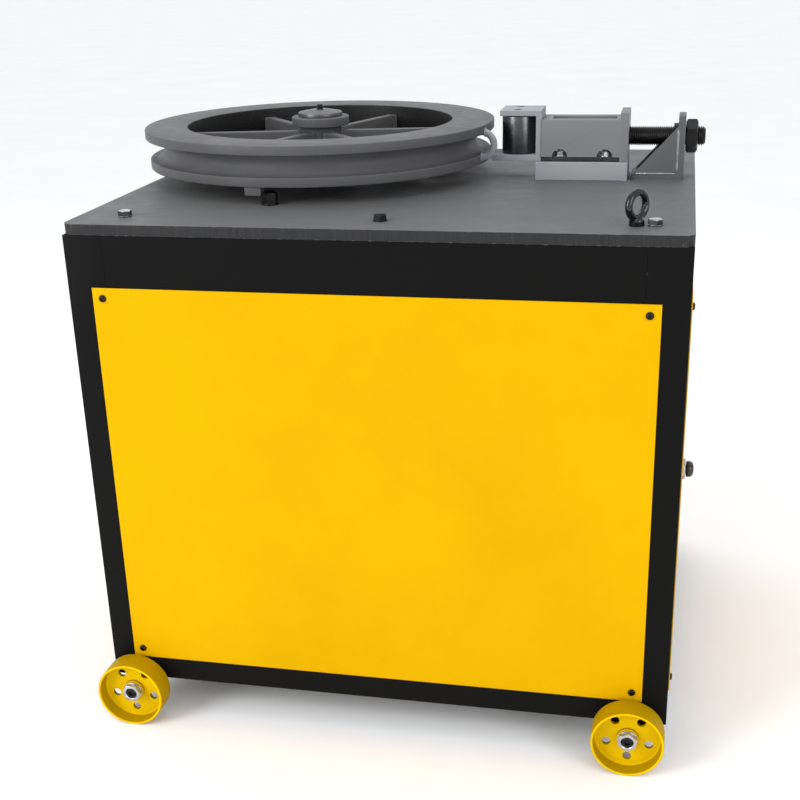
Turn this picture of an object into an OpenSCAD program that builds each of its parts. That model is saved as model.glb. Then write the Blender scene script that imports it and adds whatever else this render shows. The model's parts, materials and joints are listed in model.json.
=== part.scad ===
// Bench-height bending machine: a grooved bending wheel on a vertical spindle, worked
// by a belt-driven worm gear, with a screw-fed counter roller on a wheeled cabinet.
// +Z is up, the front faces -Y, and the origin is on the floor under the cabinet's middle.

/* [Table and cabinet] */
// Width of the table, left to right
table_w = 800; // [790:2:830]
// Depth of the table, front to back
table_d = 660; // [650:2:700]
// Thickness of the table plate
table_t = 14; // [12:1:18]
// Radius of the table's corners
table_corner_r = 15; // [8:1:24]
// Height of the cabinet frame under the table
cabinet_h = 656; // [630:2:700]
// Black border left and right of a panel
border_side = 34; // [28:1:40]
// Black border over a panel
border_top = 69; // [60:1:74]
// Black border under a panel
border_bottom = 34; // [28:1:40]
// Thickness of the sheet panels
panel_t = 2; // [1.5:0.5:3]

/* [Bending wheel] */
// Radius of the upper flange
wheel_r = 262; // [258:1:264]
// How much smaller the lower flange's radius is
lower_flange_step = 5; // [3:1:10]
// Radius of the opening inside the rim
wheel_inner_r = 199; // [190:1:205]
// Height over both flanges
wheel_h = 56; // [54:1:58]
// Width of the round-bottomed groove for the bar
groove_d = 30; // [24:1:32]
// Clear height between the table and the wheel
wheel_gap = 24; // [23:1:26]
// Number of ribs between hub and rim
rib_count = 6; // [5:1:8]
// Thickness of a rib
rib_t = 14; // [10:1:16]
// Diameter of the hub's upper collar
collar_d = 86; // [80:1:90]

/* [Counter roller] */
// Diameter of the roller
roller_d = 50; // [46:1:51]
// Clear distance between the wheel's rim and the roller
roller_gap = 15; // [12:1:15]
// Diameter of the adjusting screw's thread
screw_d = 27; // [24:1:28]
// Height of the adjusting screw's axis over the table
screw_h = 59; // [57:1:60]
// Height of the base block
block_h = 26; // [24:1:26]

/* [Road wheels] */
// Diameter of a road wheel
road_wheel_d = 98; // [90:2:104]
// Width of a road wheel
road_wheel_w = 35; // [30:1:38]
// Diameter of an axle
axle_d = 16; // [14:1:17]
// Distance of the left axle from the cabinet's side
axle_inset_left = 38; // [36:1:56]
// Distance of the right axle from the cabinet's side
axle_inset_right = 50; // [36:1:56]

/* [Drive] */
// Outer diameter of the worm wheel
worm_wheel_d = 164; // [150:2:166]
// Teeth on the worm wheel
worm_wheel_teeth = 40; // [30:1:50]
// Outer diameter of the worm
worm_d = 48; // [42:1:50]
// Outer diameter of the pulley on the worm shaft
worm_pulley_d = 190; // [170:5:200]
// Outer diameter of the pulley on the motor shaft
motor_pulley_d = 95; // [85:5:100]

/* [Hidden] */
$fn = 96;

// Shared small sizes
over = 1;          // how far a cutter runs past the face it cuts
run_clear = 0.05;  // radial clearance of a running fit
sheet_t = 4;       // frame steel
lap = 20;          // how far the frame runs on behind a panel

// Heights over the floor
axle_z = road_wheel_d / 2;
cabinet_z0 = axle_z + 9;
cabinet_z1 = cabinet_z0 + cabinet_h;
table_z = cabinet_z1 + table_t;
panel_z0 = cabinet_z0 + border_bottom;
panel_h = cabinet_h - border_bottom - border_top;
panel_z1 = panel_z0 + panel_h;

// Frame members
post_leg = border_side + lap;
top_rail_h = border_top + lap;
bottom_rail_h = border_bottom + lap;
top_flange = 66;
bottom_flange = 40;
half_w = table_w / 2;
half_d = table_d / 2;
front_panel_w = table_w - 2 * border_side;
side_panel_w = table_d - 2 * border_side;
screw_inset = 14;
panel_hole_d = 6.5;
table_bolt_hole_d = 11;
table_bolt_places = [for (x = [-334, 11, 352], y = [-275, 275]) [x, y]];

// Louvre slots of the rear panel: two columns, each vent_x from the middle
vent_rows = 7;
vent_pitch = 22;
vent_w = 140;
vent_h = 5;
vent_x = 150;
vent_z = panel_z0 + 330;

// Road wheels stand this far out from the cabinet
wheel_standoff = 8;
hub_len = road_wheel_w - 15;
function axle_x(side) = side < 0 ? axle_inset_left - half_w : half_w - axle_inset_right;

// Bending wheel, from the bottom up
wheel_x = 105 - wheel_r;
wheel_y = 66;
wheel_z0 = table_z + wheel_gap;
wheel_z1 = wheel_z0 + wheel_h;
groove_throat = 11;
rib_turn = 10;
barrel_d = 62;
rib_h = 42;
web_t = 6;
hub_z1 = wheel_z0 + 63;
collar_t = 13;
cap_d = 66;
cap_rim_t = 6;
cap_dome_t = 4;
cap_bolt_d = 10;
stub_d = 45;
hook_bar_d = 10;
hook_bend_r = 18;
hook_reach = 18;
hook_angle = -10;

// Trip dog and the stop bolt that it comes home to
stop_x = -164;
stop_y = -180;
stop_d = 12;
stop_af = 19;
stop_top = 17;
dog_w = 24;
dog_t = 12;
dog_gap = 0.8;
stop_r = norm([stop_x - wheel_x, stop_y - wheel_y]);
stop_angle = atan2(stop_y - wheel_y, stop_x - wheel_x);
dog_angle = stop_angle - asin((stop_af / 2 + dog_gap + dog_w / 2) / stop_r);

// Spindle and its bearings
spindle_d = 70;
spindle_foot_d = 60;
bearing_od = 125;
foot_bearing_od = 110;
spindle_hole_d = 96;
housing_bolt_pcd = 174;
housing_bolt_count = 6;
spindle_z0 = table_z - 288;
foot_z1 = table_z - 262;

// Gearbox round the spindle
case_z0 = table_z - 302;
case_z1 = table_z - 132;
case_wall = 10;
case_half_x = 115;
cover_t = 12;
worm_wheel_h = 40;
mesh_z = table_z - 215;
worm_y = wheel_y - worm_wheel_d / 2 - worm_d / 2 - 0.6;
case_y0 = worm_y - worm_d / 2 - 24;
case_y1 = wheel_y + worm_wheel_d / 2 + 24;
worm_shaft_d = 30;
worm_bearing_od = 72;
worm_bearing_w = 19;
worm_bearing_x = [wheel_x - case_half_x - 4, wheel_x + case_half_x + 4 - worm_bearing_w];
hanger_d = 16;
hanger_dx = case_half_x + 14;
hanger_y = [case_y0 - 14, case_y1 + 14];

// Motor and belts
motor_y = -70;
motor_z = cabinet_z0 + 136;
motor_r = 88;
motor_x0 = 70;
motor_len = 200;
shield_t = 24;
rail_top = cabinet_z0 + 24;
rail_x = [110, 230];
motor_shaft_d = 28;
motor_bearing_w = 16;
motor_bearing_od = 62;
motor_bearing_x = [motor_x0 + 4, motor_x0 + motor_len - 4 - motor_bearing_w];
foot_bolt_dy = 95;
foot_hole_d = 13;
foot_h = 14;
pulley_x0 = -2;
pulley_w = 36;
groove_pitch = 16;
groove_depth = 11;
groove_offsets = [pulley_w / 2 - groove_pitch / 2, pulley_w / 2 + groove_pitch / 2];
belt_w = 10;
belt_t = 9;

// Counter roller unit
roller_x = wheel_x + wheel_r + roller_gap + roller_d / 2;
unit_y = wheel_y;
screw_z = table_z + screw_h;
block_x0 = 173;
block_x1 = 304;
block_half_y = 40;
slot_dy = 20;
slot_stem = 9;
slot_tee = 17;
slot_tee_z0 = 8;
slot_tee_z1 = 16;
carriage_z0 = table_z + block_h + 0.5;
housing_x0 = 180;
housing_x1 = 292;
housing_half_y = 32;
housing_wall = 8;
foot_t = 6;
foot_half_y = 27;
housing_z1 = table_z + 85;
end_flange_z1 = table_z + 95;
clamp_x = [207, 271];
clamp_d = 8;
clamp_af = 13;
clamp_washer_d = 17;
notch_w = 23;
yoke_t = 8;
yoke_half_y = 30;
yoke_foot_x0 = 109;
yoke_top_x0 = 120;
yoke_z1 = table_z + 98;
pin_d = 20;
pin_screw_d = 13;
pin_screw_dy = 17;
bracket_x0 = 310;
bracket_x1 = 383;
bracket_half_y = 26;
bracket_plate_t = 10;
bracket_base_t = 9;
bracket_top = table_z + 89;
gusset_t = 6;
gusset_top = table_z + 75;
nut_af = 41;
nut_w = 17;
play = 0.4;
thrust_collar_d = 36;
thrust_collar_w = 6;
screw_x0 = housing_x1 - 20;
screw_x1 = 411;

// Controls and cable entry
button_y = -195;
button_z = 380;
button_d = 22;
gland_x = 250;
gland_z = cabinet_z0 + 100;
gland_bore_d = 10;
gland_hole_d = 20;

// Lifting eye bolt, M10
eye_x = 330;
eye_y = -277;
eye_turn = 52;
eye_ring_r = 15.5;
eye_bar_d = 9.5;
eye_bore_d = 22;
eye_z = table_z + 24.8;

// Colours
black = [0.10, 0.10, 0.10];
yellow = [0.98, 0.76, 0.02];
grey = [0.50, 0.51, 0.52];
light_grey = [0.62, 0.63, 0.65];
steel = [0.72, 0.73, 0.75];
dark_steel = [0.22, 0.22, 0.23];
bronze = [0.70, 0.52, 0.28];

// ---- Building blocks ----

// Moves its children to the bending wheel's axis
module at_wheel(z = 0) {
    translate([wheel_x, wheel_y, z]) children();
}

// Box given by its lowest and highest corners
module box(lo, hi) {
    translate(lo) cube(hi - lo);
}

// Upright ring
module ring(od, id, h) {
    difference() {
        cylinder(d = od, h = h);
        translate([0, 0, -over]) cylinder(d = id, h = h + 2 * over);
    }
}

// Turns what stands along Z so that it lies along X
module along_x() {
    rotate([0, 90, 0]) children();
}

// Hexagonal prism with flats facing -X and +X
module hexagon(af, h) {
    rotate(30) cylinder(d = af / cos(30), h = h, $fn = 6);
}

// Hex bolt standing on z = 0, with a washer under its head and its shank below
module hex_bolt(d, af, head, washer_d, washer_t, shank) {
    translate([0, 0, -shank]) cylinder(d = d, h = shank + washer_t);
    cylinder(d = washer_d, h = washer_t);
    translate([0, 0, washer_t]) hexagon(af, head);
}

// Rectangle with round corners, centred
module round_rect(w, d, r) {
    square([w - 2 * r, d], center = true);
    square([w, d - 2 * r], center = true);
    for (sx = [-1, 1], sy = [-1, 1])
        translate([sx * (w / 2 - r), sy * (d / 2 - r)]) circle(r);
}

// ---- Cabinet ----

module frame_posts() {
    color(black)
    difference() {
        for (sx = [0, 1], sy = [0, 1])
            mirror([sx, 0, 0]) mirror([0, sy, 0])
            difference() {
                box([half_w - post_leg, half_d - post_leg, cabinet_z0], [half_w, half_d, cabinet_z1]);
                box([half_w - post_leg - over, half_d - post_leg - over, cabinet_z0 - over],
                    [half_w - sheet_t, half_d - sheet_t, cabinet_z1 + over]);
            }
        panel_screw_places() cylinder(d = panel_hole_d, h = 8 * panel_t + sheet_t, center = true);
    }
}

// Angle rail along one side: an upright leg and a shorter flange that points inwards
module angle_rail(len, face, leg_h, leg_z, flange_len, flange, flange_z) {
    box([-len / 2, face - sheet_t, leg_z], [len / 2, face, leg_z + leg_h]);
    box([-flange_len / 2, face - flange, flange_z], [flange_len / 2, face, flange_z + sheet_t]);
}

// The four rails of one level; the flanges clear the posts, and the side ones the front ones
module rail_level(leg_h, leg_z, flange, flange_z) {
    front_len = table_w - 2 * post_leg;
    side_len = table_d - 2 * post_leg;
    for (turn = [0, 180])
        rotate(turn) angle_rail(front_len, half_d, leg_h, leg_z, front_len, flange, flange_z);
    for (turn = [90, 270])
        rotate(turn)
        angle_rail(side_len, half_w, leg_h, leg_z, min(side_len, table_d - 2 * flange), flange, flange_z);
}

module top_rails() {
    color(black)
    difference() {
        rail_level(top_rail_h, cabinet_z1 - top_rail_h, top_flange, cabinet_z1 - sheet_t);
        for (p = table_bolt_places)
            translate([p.x, p.y, cabinet_z1 - sheet_t - over])
                cylinder(d = table_bolt_hole_d, h = sheet_t + 2 * over);
    }
}

module bottom_rails() {
    block = [50, 34, 22];
    color(black) {
        rail_level(bottom_rail_h, cabinet_z0, bottom_flange, cabinet_z0);
        for (sx = [-1, 1], sy = [-1, 1])
            translate([axle_x(sx), sy * (half_d - block.y / 2 - 4), cabinet_z0 - block.z / 2])
            difference() {
                cube(block, center = true);
                translate([0, 0, axle_z - cabinet_z0 + block.z / 2])
                    rotate([90, 0, 0]) cylinder(d = axle_d, h = block.y + 2 * over, center = true);
            }
    }
}

module table_plate() {
    color(grey)
    difference() {
        translate([0, 0, cabinet_z1]) linear_extrude(table_t) round_rect(table_w, table_d, table_corner_r);
        at_wheel(cabinet_z1 - over) cylinder(d = spindle_hole_d, h = table_t + 2 * over);
        for (p = table_bolt_places)
            translate([p.x, p.y, cabinet_z1 - over]) cylinder(d = table_bolt_hole_d, h = table_t + 2 * over);
        for (k = [0 : housing_bolt_count - 1])
            at_wheel(cabinet_z1 - over)
            rotate(k * 360 / housing_bolt_count)
            translate([housing_bolt_pcd / 2, 0, 0]) cylinder(d = 12, h = 10 + over);
        for (sx = [-1, 1], y = hanger_y)
            translate([wheel_x + sx * hanger_dx, y, cabinet_z1 - over]) cylinder(d = hanger_d, h = 10 + over);
        translate([stop_x, stop_y, cabinet_z1 - over]) cylinder(d = stop_d, h = table_t + 2 * over);
        translate([eye_x, eye_y, cabinet_z1 - over]) cylinder(d = 10, h = table_t + 2 * over);
    }
}

// Flat panel with four corner screw holes, lying against y = 0 and centred on x
module sheet_panel(w) {
    difference() {
        box([-w / 2, -panel_t, panel_z0], [w / 2, 0, panel_z1]);
        panel_corners(w) cylinder(d = panel_hole_d, h = panel_t + 2 * over, center = true);
    }
}

// Puts its children, which stand along Z, at a panel's corner screws, pointing out of it
module panel_corners(w) {
    for (sx = [-1, 1], z = [panel_z0 + screw_inset, panel_z1 - screw_inset])
        translate([sx * (w / 2 - screw_inset), -panel_t / 2, z]) rotate([90, 0, 0]) children();
}

// Round-headed panel screw, its head on the panel's outer face
module panel_screw() {
    translate([0, 0, panel_t / 2]) cylinder(d = 10, h = 3);
    translate([0, 0, -12]) cylinder(d = 6, h = 12 + panel_t);
}

module front_panel() {
    color(yellow) translate([0, -half_d, 0]) sheet_panel(front_panel_w);
}

module rear_panel() {
    color(yellow)
    difference() {
        rotate(180) translate([0, -half_d, 0]) sheet_panel(front_panel_w);
        for (sx = [-1, 1], k = [0 : vent_rows - 1])
            translate([sx * vent_x - vent_w / 2, half_d - over, vent_z + k * vent_pitch])
                cube([vent_w, panel_t + 2 * over, vent_h]);
        translate([gland_x, half_d, gland_z])
            rotate([90, 0, 0]) cylinder(d = gland_hole_d, h = 4 * panel_t, center = true);
    }
}

module side_panels() {
    color(yellow) {
        rotate(-90) translate([0, -half_w, 0]) sheet_panel(side_panel_w);
        difference() {
            rotate(90) translate([0, -half_w, 0]) sheet_panel(side_panel_w);
            translate([half_w, button_y, button_z])
                along_x() cylinder(d = 16, h = 4 * panel_t, center = true);
        }
    }
}

// Puts its children at every screw of the four panels
module panel_screw_places() {
    for (turn = [0, 180])
        rotate(turn) translate([0, -half_d, 0]) panel_corners(front_panel_w) children();
    for (turn = [90, 270])
        rotate(turn) translate([0, -half_w, 0]) panel_corners(side_panel_w) children();
}

module panel_screws() {
    color(dark_steel) panel_screw_places() panel_screw();
}

module table_bolts() {
    color(steel)
    for (p = table_bolt_places)
        translate([p.x, p.y, table_z]) hex_bolt(10, 16, 6.5, 18, 1.6, 30);
}

// ---- Things that stand on the table ----

module stop_bolt() {
    washer_t = 3;
    color(dark_steel)
    translate([stop_x, stop_y, table_z]) hex_bolt(stop_d, stop_af, stop_top - washer_t, 24, washer_t, table_t);
}

module eye_bolt() {
    color(steel)
    difference() {
        union() {
            translate([eye_x, eye_y, eye_z]) rotate([90, 0, eye_turn])
                rotate_extrude() translate([eye_ring_r, 0]) circle(d = eye_bar_d);
            translate([eye_x, eye_y, table_z]) cylinder(d = 19, h = 7);
            translate([eye_x, eye_y, table_z + 7]) cylinder(d1 = 19, d2 = 12, h = 4);
            translate([eye_x, eye_y, cabinet_z1 + 0.5]) cylinder(d = 10, h = table_t);
        }
        translate([eye_x, eye_y, eye_z]) rotate([90, 0, eye_turn])
            cylinder(d = eye_bore_d, h = 2 * eye_bar_d, center = true);
    }
}

module base_block() {
    color(light_grey)
    difference() {
        box([block_x0, unit_y - block_half_y, table_z], [block_x1, unit_y + block_half_y, table_z + block_h]);
        for (s = [-1, 1])
            translate([0, unit_y + s * slot_dy, table_z]) {
                box([block_x0 - over, -slot_stem / 2, slot_tee_z0],
                    [block_x1 + over, slot_stem / 2, block_h + over]);
                box([block_x0 - over, -slot_tee / 2, slot_tee_z0],
                    [block_x1 + over, slot_tee / 2, slot_tee_z1]);
            }
    }
}

module rod_bracket() {
    plate_x0 = bracket_x1 - bracket_plate_t;
    color(grey)
    translate([0, unit_y, 0])
    difference() {
        union() {
            box([bracket_x0, -bracket_half_y, table_z],
                [bracket_x1, bracket_half_y, table_z + bracket_base_t]);
            box([plate_x0, -bracket_half_y, table_z], [bracket_x1, bracket_half_y, bracket_top]);
            for (y = [-bracket_half_y + gusset_t, bracket_half_y])
                translate([0, y, 0]) rotate([90, 0, 0]) linear_extrude(gusset_t)
                    polygon([
                        [bracket_x0 + 3, table_z + bracket_base_t],
                        [plate_x0, table_z + bracket_base_t],
                        [plate_x0, gusset_top]
                    ]);
        }
        translate([plate_x0 - over, 0, screw_z])
            along_x() cylinder(d = screw_d + 2 * run_clear, h = bracket_plate_t + 2 * over);
    }
}

// Nut locked on the adjusting screw's outer end, where the spanner turns it
module rod_nut() {
    color(dark_steel)
    translate([bracket_x1 + play, unit_y, screw_z]) along_x()
    difference() {
        cylinder(d = nut_af / cos(30), h = nut_w, $fn = 6);
        translate([0, 0, -over]) cylinder(d = screw_d, h = nut_w + 2 * over);
    }
}

// ---- Spindle, bearings and gearbox ----

module bearing_housing() {
    flange_t = 14;
    depth = 76;
    lip = 10;
    color(dark_steel)
    at_wheel(cabinet_z1)
    difference() {
        union() {
            translate([0, 0, -flange_t]) cylinder(d = 204, h = flange_t);
            translate([0, 0, -depth]) cylinder(d = bearing_od + 24, h = depth);
        }
        translate([0, 0, -depth + lip]) cylinder(d = bearing_od, h = depth);
        translate([0, 0, -depth - over]) cylinder(d = 84, h = depth);
        for (k = [0 : housing_bolt_count - 1])
            rotate(k * 360 / housing_bolt_count)
            translate([housing_bolt_pcd / 2, 0, -flange_t - over]) cylinder(d = 13, h = flange_t + 2 * over);
    }
}

// M12 bolts: six hold the bearing housing from below, four hold the motor's feet
module m12_bolts() {
    color(steel) {
        for (k = [0 : housing_bolt_count - 1])
            at_wheel(cabinet_z1 - 14)
            rotate(k * 360 / housing_bolt_count)
            translate([housing_bolt_pcd / 2, 0, 0]) mirror([0, 0, 1]) hex_bolt(12, 18, 7.5, 22, 2.5, 23);
        for (x = rail_x, s = [-1, 1])
            translate([x, motor_y + s * foot_bolt_dy, rail_top + foot_h]) hex_bolt(12, 18, 7.5, 24, 2.5, 28);
    }
}

// Ball bearing drawn as its two rings with the balls between them
module bearing(od, id, w) {
    land = (od - id) / 2;
    ball_r = land * 0.28;
    mid_r = (od + id) / 4;
    difference() {
        ring(od, id, w);
        translate([0, 0, -over]) ring(2 * mid_r + ball_r, 2 * mid_r - ball_r, over + w * 0.2);
        translate([0, 0, w * 0.8]) ring(2 * mid_r + ball_r, 2 * mid_r - ball_r, over + w * 0.2);
    }
}

module bearings() {
    color(steel) {
        at_wheel(cabinet_z1 - 66) bearing(bearing_od, spindle_d + 2 * run_clear, 24);
        at_wheel(spindle_z0 - 0.5) bearing(foot_bearing_od, spindle_foot_d + 2 * run_clear, 22);
        for (x = worm_bearing_x)
            translate([x, worm_y, mesh_z])
            along_x() bearing(worm_bearing_od, worm_shaft_d + 2 * run_clear, worm_bearing_w);
        for (x = motor_bearing_x)
            translate([x, motor_y, motor_z])
            along_x() bearing(motor_bearing_od, motor_shaft_d + 2 * run_clear, motor_bearing_w);
    }
}

module gearbox_case() {
    boss_d = worm_bearing_od + 22;
    inner = case_half_x - case_wall;
    color(grey)
    difference() {
        union() {
            box([wheel_x - case_half_x, case_y0, case_z0], [wheel_x + case_half_x, case_y1, case_z1]);
            translate([wheel_x - case_half_x - 8, worm_y, mesh_z])
                along_x() cylinder(d = boss_d, h = 2 * case_half_x + 16);
        }
        difference() {
            box([wheel_x - inner, case_y0 + case_wall, case_z0 + case_wall],
                [wheel_x + inner, case_y1 - case_wall, case_z1 + over]);
            at_wheel(case_z0) ring(foot_bearing_od + 20, foot_bearing_od, 38);
        }
        translate([wheel_x - case_half_x - 20, worm_y, mesh_z])
            along_x() cylinder(d = worm_bearing_od, h = 2 * case_half_x + 40);
    }
}

module gearbox_cover() {
    color(grey)
    difference() {
        union() {
            box([wheel_x - hanger_dx - 16, hanger_y[0] - 16, case_z1],
                [wheel_x + hanger_dx + 16, hanger_y[1] + 16, case_z1 + cover_t]);
            at_wheel(case_z1) cylinder(d = 110, h = cover_t + 12);
        }
        at_wheel(case_z1 - over) cylinder(d = spindle_d + 4, h = 60);
        for (sx = [-1, 1], y = hanger_y)
            translate([wheel_x + sx * hanger_dx, y, case_z1 - over])
                cylinder(d = hanger_d + 1, h = cover_t + 2 * over);
    }
}

// Long bolts that hang the gearbox from the table
module hanger_bolts() {
    reach = cabinet_z1 - case_z1 + 10;
    color(steel)
    for (sx = [-1, 1], y = hanger_y)
        translate([wheel_x + sx * hanger_dx, y, case_z1])
        mirror([0, 0, 1]) hex_bolt(hanger_d, 24, 10, 30, 3, reach);
}

module spindle() {
    color(steel)
    at_wheel()
    difference() {
        union() {
            translate([0, 0, spindle_z0]) cylinder(d = spindle_foot_d, h = foot_z1 - spindle_z0);
            translate([0, 0, foot_z1]) cylinder(d = spindle_d, h = wheel_z0 - foot_z1);
            translate([0, 0, wheel_z0]) cylinder(d = stub_d, h = hub_z1 - wheel_z0);
        }
        translate([0, 0, hub_z1 - 30]) cylinder(d = cap_bolt_d, h = 30 + over);
    }
}

module worm_wheel() {
    tooth_depth = 7;
    color(bronze)
    at_wheel(mesh_z - worm_wheel_h / 2)
    difference() {
        union() {
            cylinder(d = worm_wheel_d, h = worm_wheel_h);
            cylinder(d = 104, h = worm_wheel_h + 14);
        }
        translate([0, 0, -over]) cylinder(d = spindle_d, h = worm_wheel_h + 20);
        for (k = [0 : worm_wheel_teeth - 1])
            rotate(k * 360 / worm_wheel_teeth)
            translate([worm_wheel_d / 2 - tooth_depth, 0, worm_wheel_h / 2])
            rotate([6, 0, 0])
            translate([0, -3, -worm_wheel_h]) cube([2 * tooth_depth, 6, 2 * worm_wheel_h]);
    }
}

// Worm and its shaft in one, turned about X
module worm_shaft() {
    x0 = worm_bearing_x[0] + 1;
    x1 = pulley_x0 + pulley_w;
    worm_len = 96;
    thread_pitch = 12;
    color(steel) {
        translate([x0, worm_y, mesh_z]) along_x() cylinder(d = worm_shaft_d, h = x1 - x0);
        translate([wheel_x - worm_len / 2, worm_y, mesh_z]) along_x()
        difference() {
            cylinder(d = worm_d, h = worm_len);
            for (k = [1 : worm_len / thread_pitch - 1])
                translate([0, 0, k * thread_pitch]) rotate_extrude()
                    translate([worm_d / 2, 0]) polygon([[1, -4], [1, 4], [-6, 2], [-6, -2]]);
        }
    }
}

// ---- Pulleys, belts and motor ----

// Two-groove V pulley along +X from its own origin
module v_pulley(od, bore) {
    along_x()
    rotate_extrude()
    difference() {
        translate([bore / 2, 0]) square([(od - bore) / 2, pulley_w]);
        for (g = groove_offsets)
            translate([od / 2, g])
            polygon([[over, -7.3], [over, 7.3], [-groove_depth, 5.4], [-groove_depth, -5.4]]);
        translate([bore / 2 + 14, -over]) square([max(1, (od - bore) / 2 - groove_depth - 22), 9]);
    }
}

module worm_pulley() {
    color(dark_steel)
    translate([pulley_x0, worm_y, mesh_z]) v_pulley(worm_pulley_d, worm_shaft_d);
}

module motor_pulley() {
    color(dark_steel)
    translate([pulley_x0, motor_y, motor_z]) v_pulley(motor_pulley_d, motor_shaft_d);
}

// Solid outline round two circles, the first at the origin and the second at "far"
module belt_outline(r1, r2, far) {
    reach = norm(far);
    lean = asin((r1 - r2) / reach);
    turn = atan2(far.y, far.x);
    circle(r1);
    translate(far) circle(r2);
    rotate(turn)
    polygon([
        [r1 * sin(lean), r1 * cos(lean)],
        [reach + r2 * sin(lean), r2 * cos(lean)],
        [reach + r2 * sin(lean), -r2 * cos(lean)],
        [r1 * sin(lean), -r1 * cos(lean)]
    ]);
}

module v_belts() {
    seat = groove_depth - 1;
    r1 = worm_pulley_d / 2 - seat;
    r2 = motor_pulley_d / 2 - seat;
    far = [motor_y - worm_y, motor_z - mesh_z];
    color(black)
    for (g = groove_offsets)
        translate([pulley_x0 + g - belt_w / 2, worm_y, mesh_z])
        rotate([90, 0, 90])
        linear_extrude(belt_w)
        difference() {
            belt_outline(r1 + belt_t, r2 + belt_t, far);
            belt_outline(r1, r2, far);
        }
}

module motor_rails() {
    color(black)
    difference() {
        for (x = rail_x)
            box([x - 25, -half_d + sheet_t + 0.5, cabinet_z0 + sheet_t],
                [x + 25, half_d - sheet_t - 0.5, rail_top]);
        for (x = rail_x, s = [-1, 1])
            translate([x, motor_y + s * foot_bolt_dy, cabinet_z0]) cylinder(d = foot_hole_d, h = 40);
    }
}

module motor_housing() {
    fin_count = 36;
    bore_r = 62;
    color([0.30, 0.40, 0.50])
    difference() {
        union() {
            translate([motor_x0, motor_y, motor_z]) along_x() {
                cylinder(r = motor_r, h = shield_t);
                translate([0, 0, motor_len - shield_t]) cylinder(r = motor_r, h = shield_t);
                cylinder(r = motor_r - 10, h = motor_len);
                for (k = [0 : fin_count - 1])
                    rotate(k * 360 / fin_count)
                    translate([motor_r - 12, -1.5, 0]) cube([11, 3, motor_len]);
            }
            for (x = rail_x)
                box([x - 22, motor_y - 112, rail_top], [x + 22, motor_y + 112, rail_top + foot_h]);
            for (x = rail_x, s = [-1, 1])
                box([x - 22, motor_y + s * 62 - 10, rail_top], [x + 22, motor_y + s * 62 + 10, motor_z - 40]);
        }
        translate([motor_x0 + shield_t, motor_y, motor_z])
            along_x() cylinder(r = bore_r, h = motor_len - 2 * shield_t);
        translate([motor_x0 - over, motor_y, motor_z]) along_x() cylinder(d = 34, h = motor_len + 2 * over);
        for (x = motor_bearing_x)
            translate([x, motor_y, motor_z]) along_x() cylinder(d = motor_bearing_od, h = motor_bearing_w);
        for (x = rail_x, s = [-1, 1])
            translate([x, motor_y + s * foot_bolt_dy, rail_top - over])
                cylinder(d = foot_hole_d, h = foot_h + 2 * over);
    }
}

module fan_cover() {
    len = 56;
    x0 = motor_x0 + motor_len;
    color(black)
    translate([x0, motor_y, motor_z]) along_x()
    difference() {
        cylinder(r = motor_r, h = len);
        translate([0, 0, -over]) cylinder(r = motor_r - 2, h = len - 1);
        for (ring_r = [20, 40, 60], k = [0 : 11])
            rotate(k * 30) translate([ring_r, 0, len - 3]) cylinder(d = 8, h = 6);
    }
}

module terminal_box() {
    lo = [motor_x0 + 60, motor_y - 45, motor_z + motor_r - 1];
    color(black)
    difference() {
        box(lo, lo + [90, 90, 48]);
        box(lo + [4, 4, 4], lo + [86, 86, 44]);
    }
}

module motor_shaft() {
    x0 = pulley_x0 - 2;
    color(steel) {
        translate([x0, motor_y, motor_z])
            along_x() cylinder(d = motor_shaft_d, h = motor_x0 + motor_len + 44 - x0);
        translate([motor_x0 + 40, motor_y, motor_z]) along_x() cylinder(r = 48, h = motor_len - 80);
    }
}

module motor_fan() {
    x0 = motor_x0 + motor_len + 12;
    color(black)
    translate([x0, motor_y, motor_z]) along_x()
    difference() {
        union() {
            cylinder(d = 48, h = 28);
            for (k = [0 : 7])
                rotate(k * 45) translate([20, -1.5, 0]) cube([52, 3, 26]);
        }
        translate([0, 0, -over]) cylinder(d = motor_shaft_d, h = 40);
    }
}

// ---- Controls ----

module control_box() {
    lo = [half_w - 100, button_y - 60, button_z - 90];
    hi = [half_w - 6, button_y + 120, button_z + 90];
    color(light_grey)
    difference() {
        box(lo, hi);
        box(lo + [2, 2, 2], hi - [2, 2, 2]);
        translate([hi.x - 4, button_y, button_z]) along_x() cylinder(d = 18, h = 10);
    }
}

module contactor() {
    lo = [half_w - 94, button_y - 20, button_z - 84];
    color(black) {
        box(lo, lo + [50, 80, 60]);
        for (k = [0 : 2])
            box(lo + [8, 6 + 26 * k, 60], lo + [42, 22 + 26 * k, 72]);
    }
}

module button_collar() {
    color(dark_steel)
    translate([half_w + panel_t, button_y, button_z]) along_x() ring(28, button_d + 1, 5);
}

// Mushroom push button with its stem through the side panel
module stop_button() {
    color(black)
    translate([half_w, button_y, button_z]) along_x() {
        translate([0, 0, -30]) cylinder(d = 12, h = 42);
        translate([0, 0, panel_t + 6]) cylinder(d = button_d, h = 6);
        translate([0, 0, panel_t + 6]) intersection() {
            translate([0, 0, -6]) sphere(r = 16);
            cylinder(d = button_d, h = 10);
        }
    }
}

module cable_gland() {
    color(black)
    translate([gland_x, half_d, gland_z]) rotate([-90, 0, 0])
    difference() {
        union() {
            translate([0, 0, -14]) cylinder(d = gland_hole_d, h = 20);
            translate([0, 0, panel_t]) cylinder(d = 27 / cos(30), h = 7, $fn = 6);
            translate([0, 0, panel_t + 7]) cylinder(d1 = 24, d2 = 18, h = 14);
        }
        translate([0, 0, -15]) cylinder(d = gland_bore_d, h = 50);
    }
}

// ---- Bending wheel ----

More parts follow.
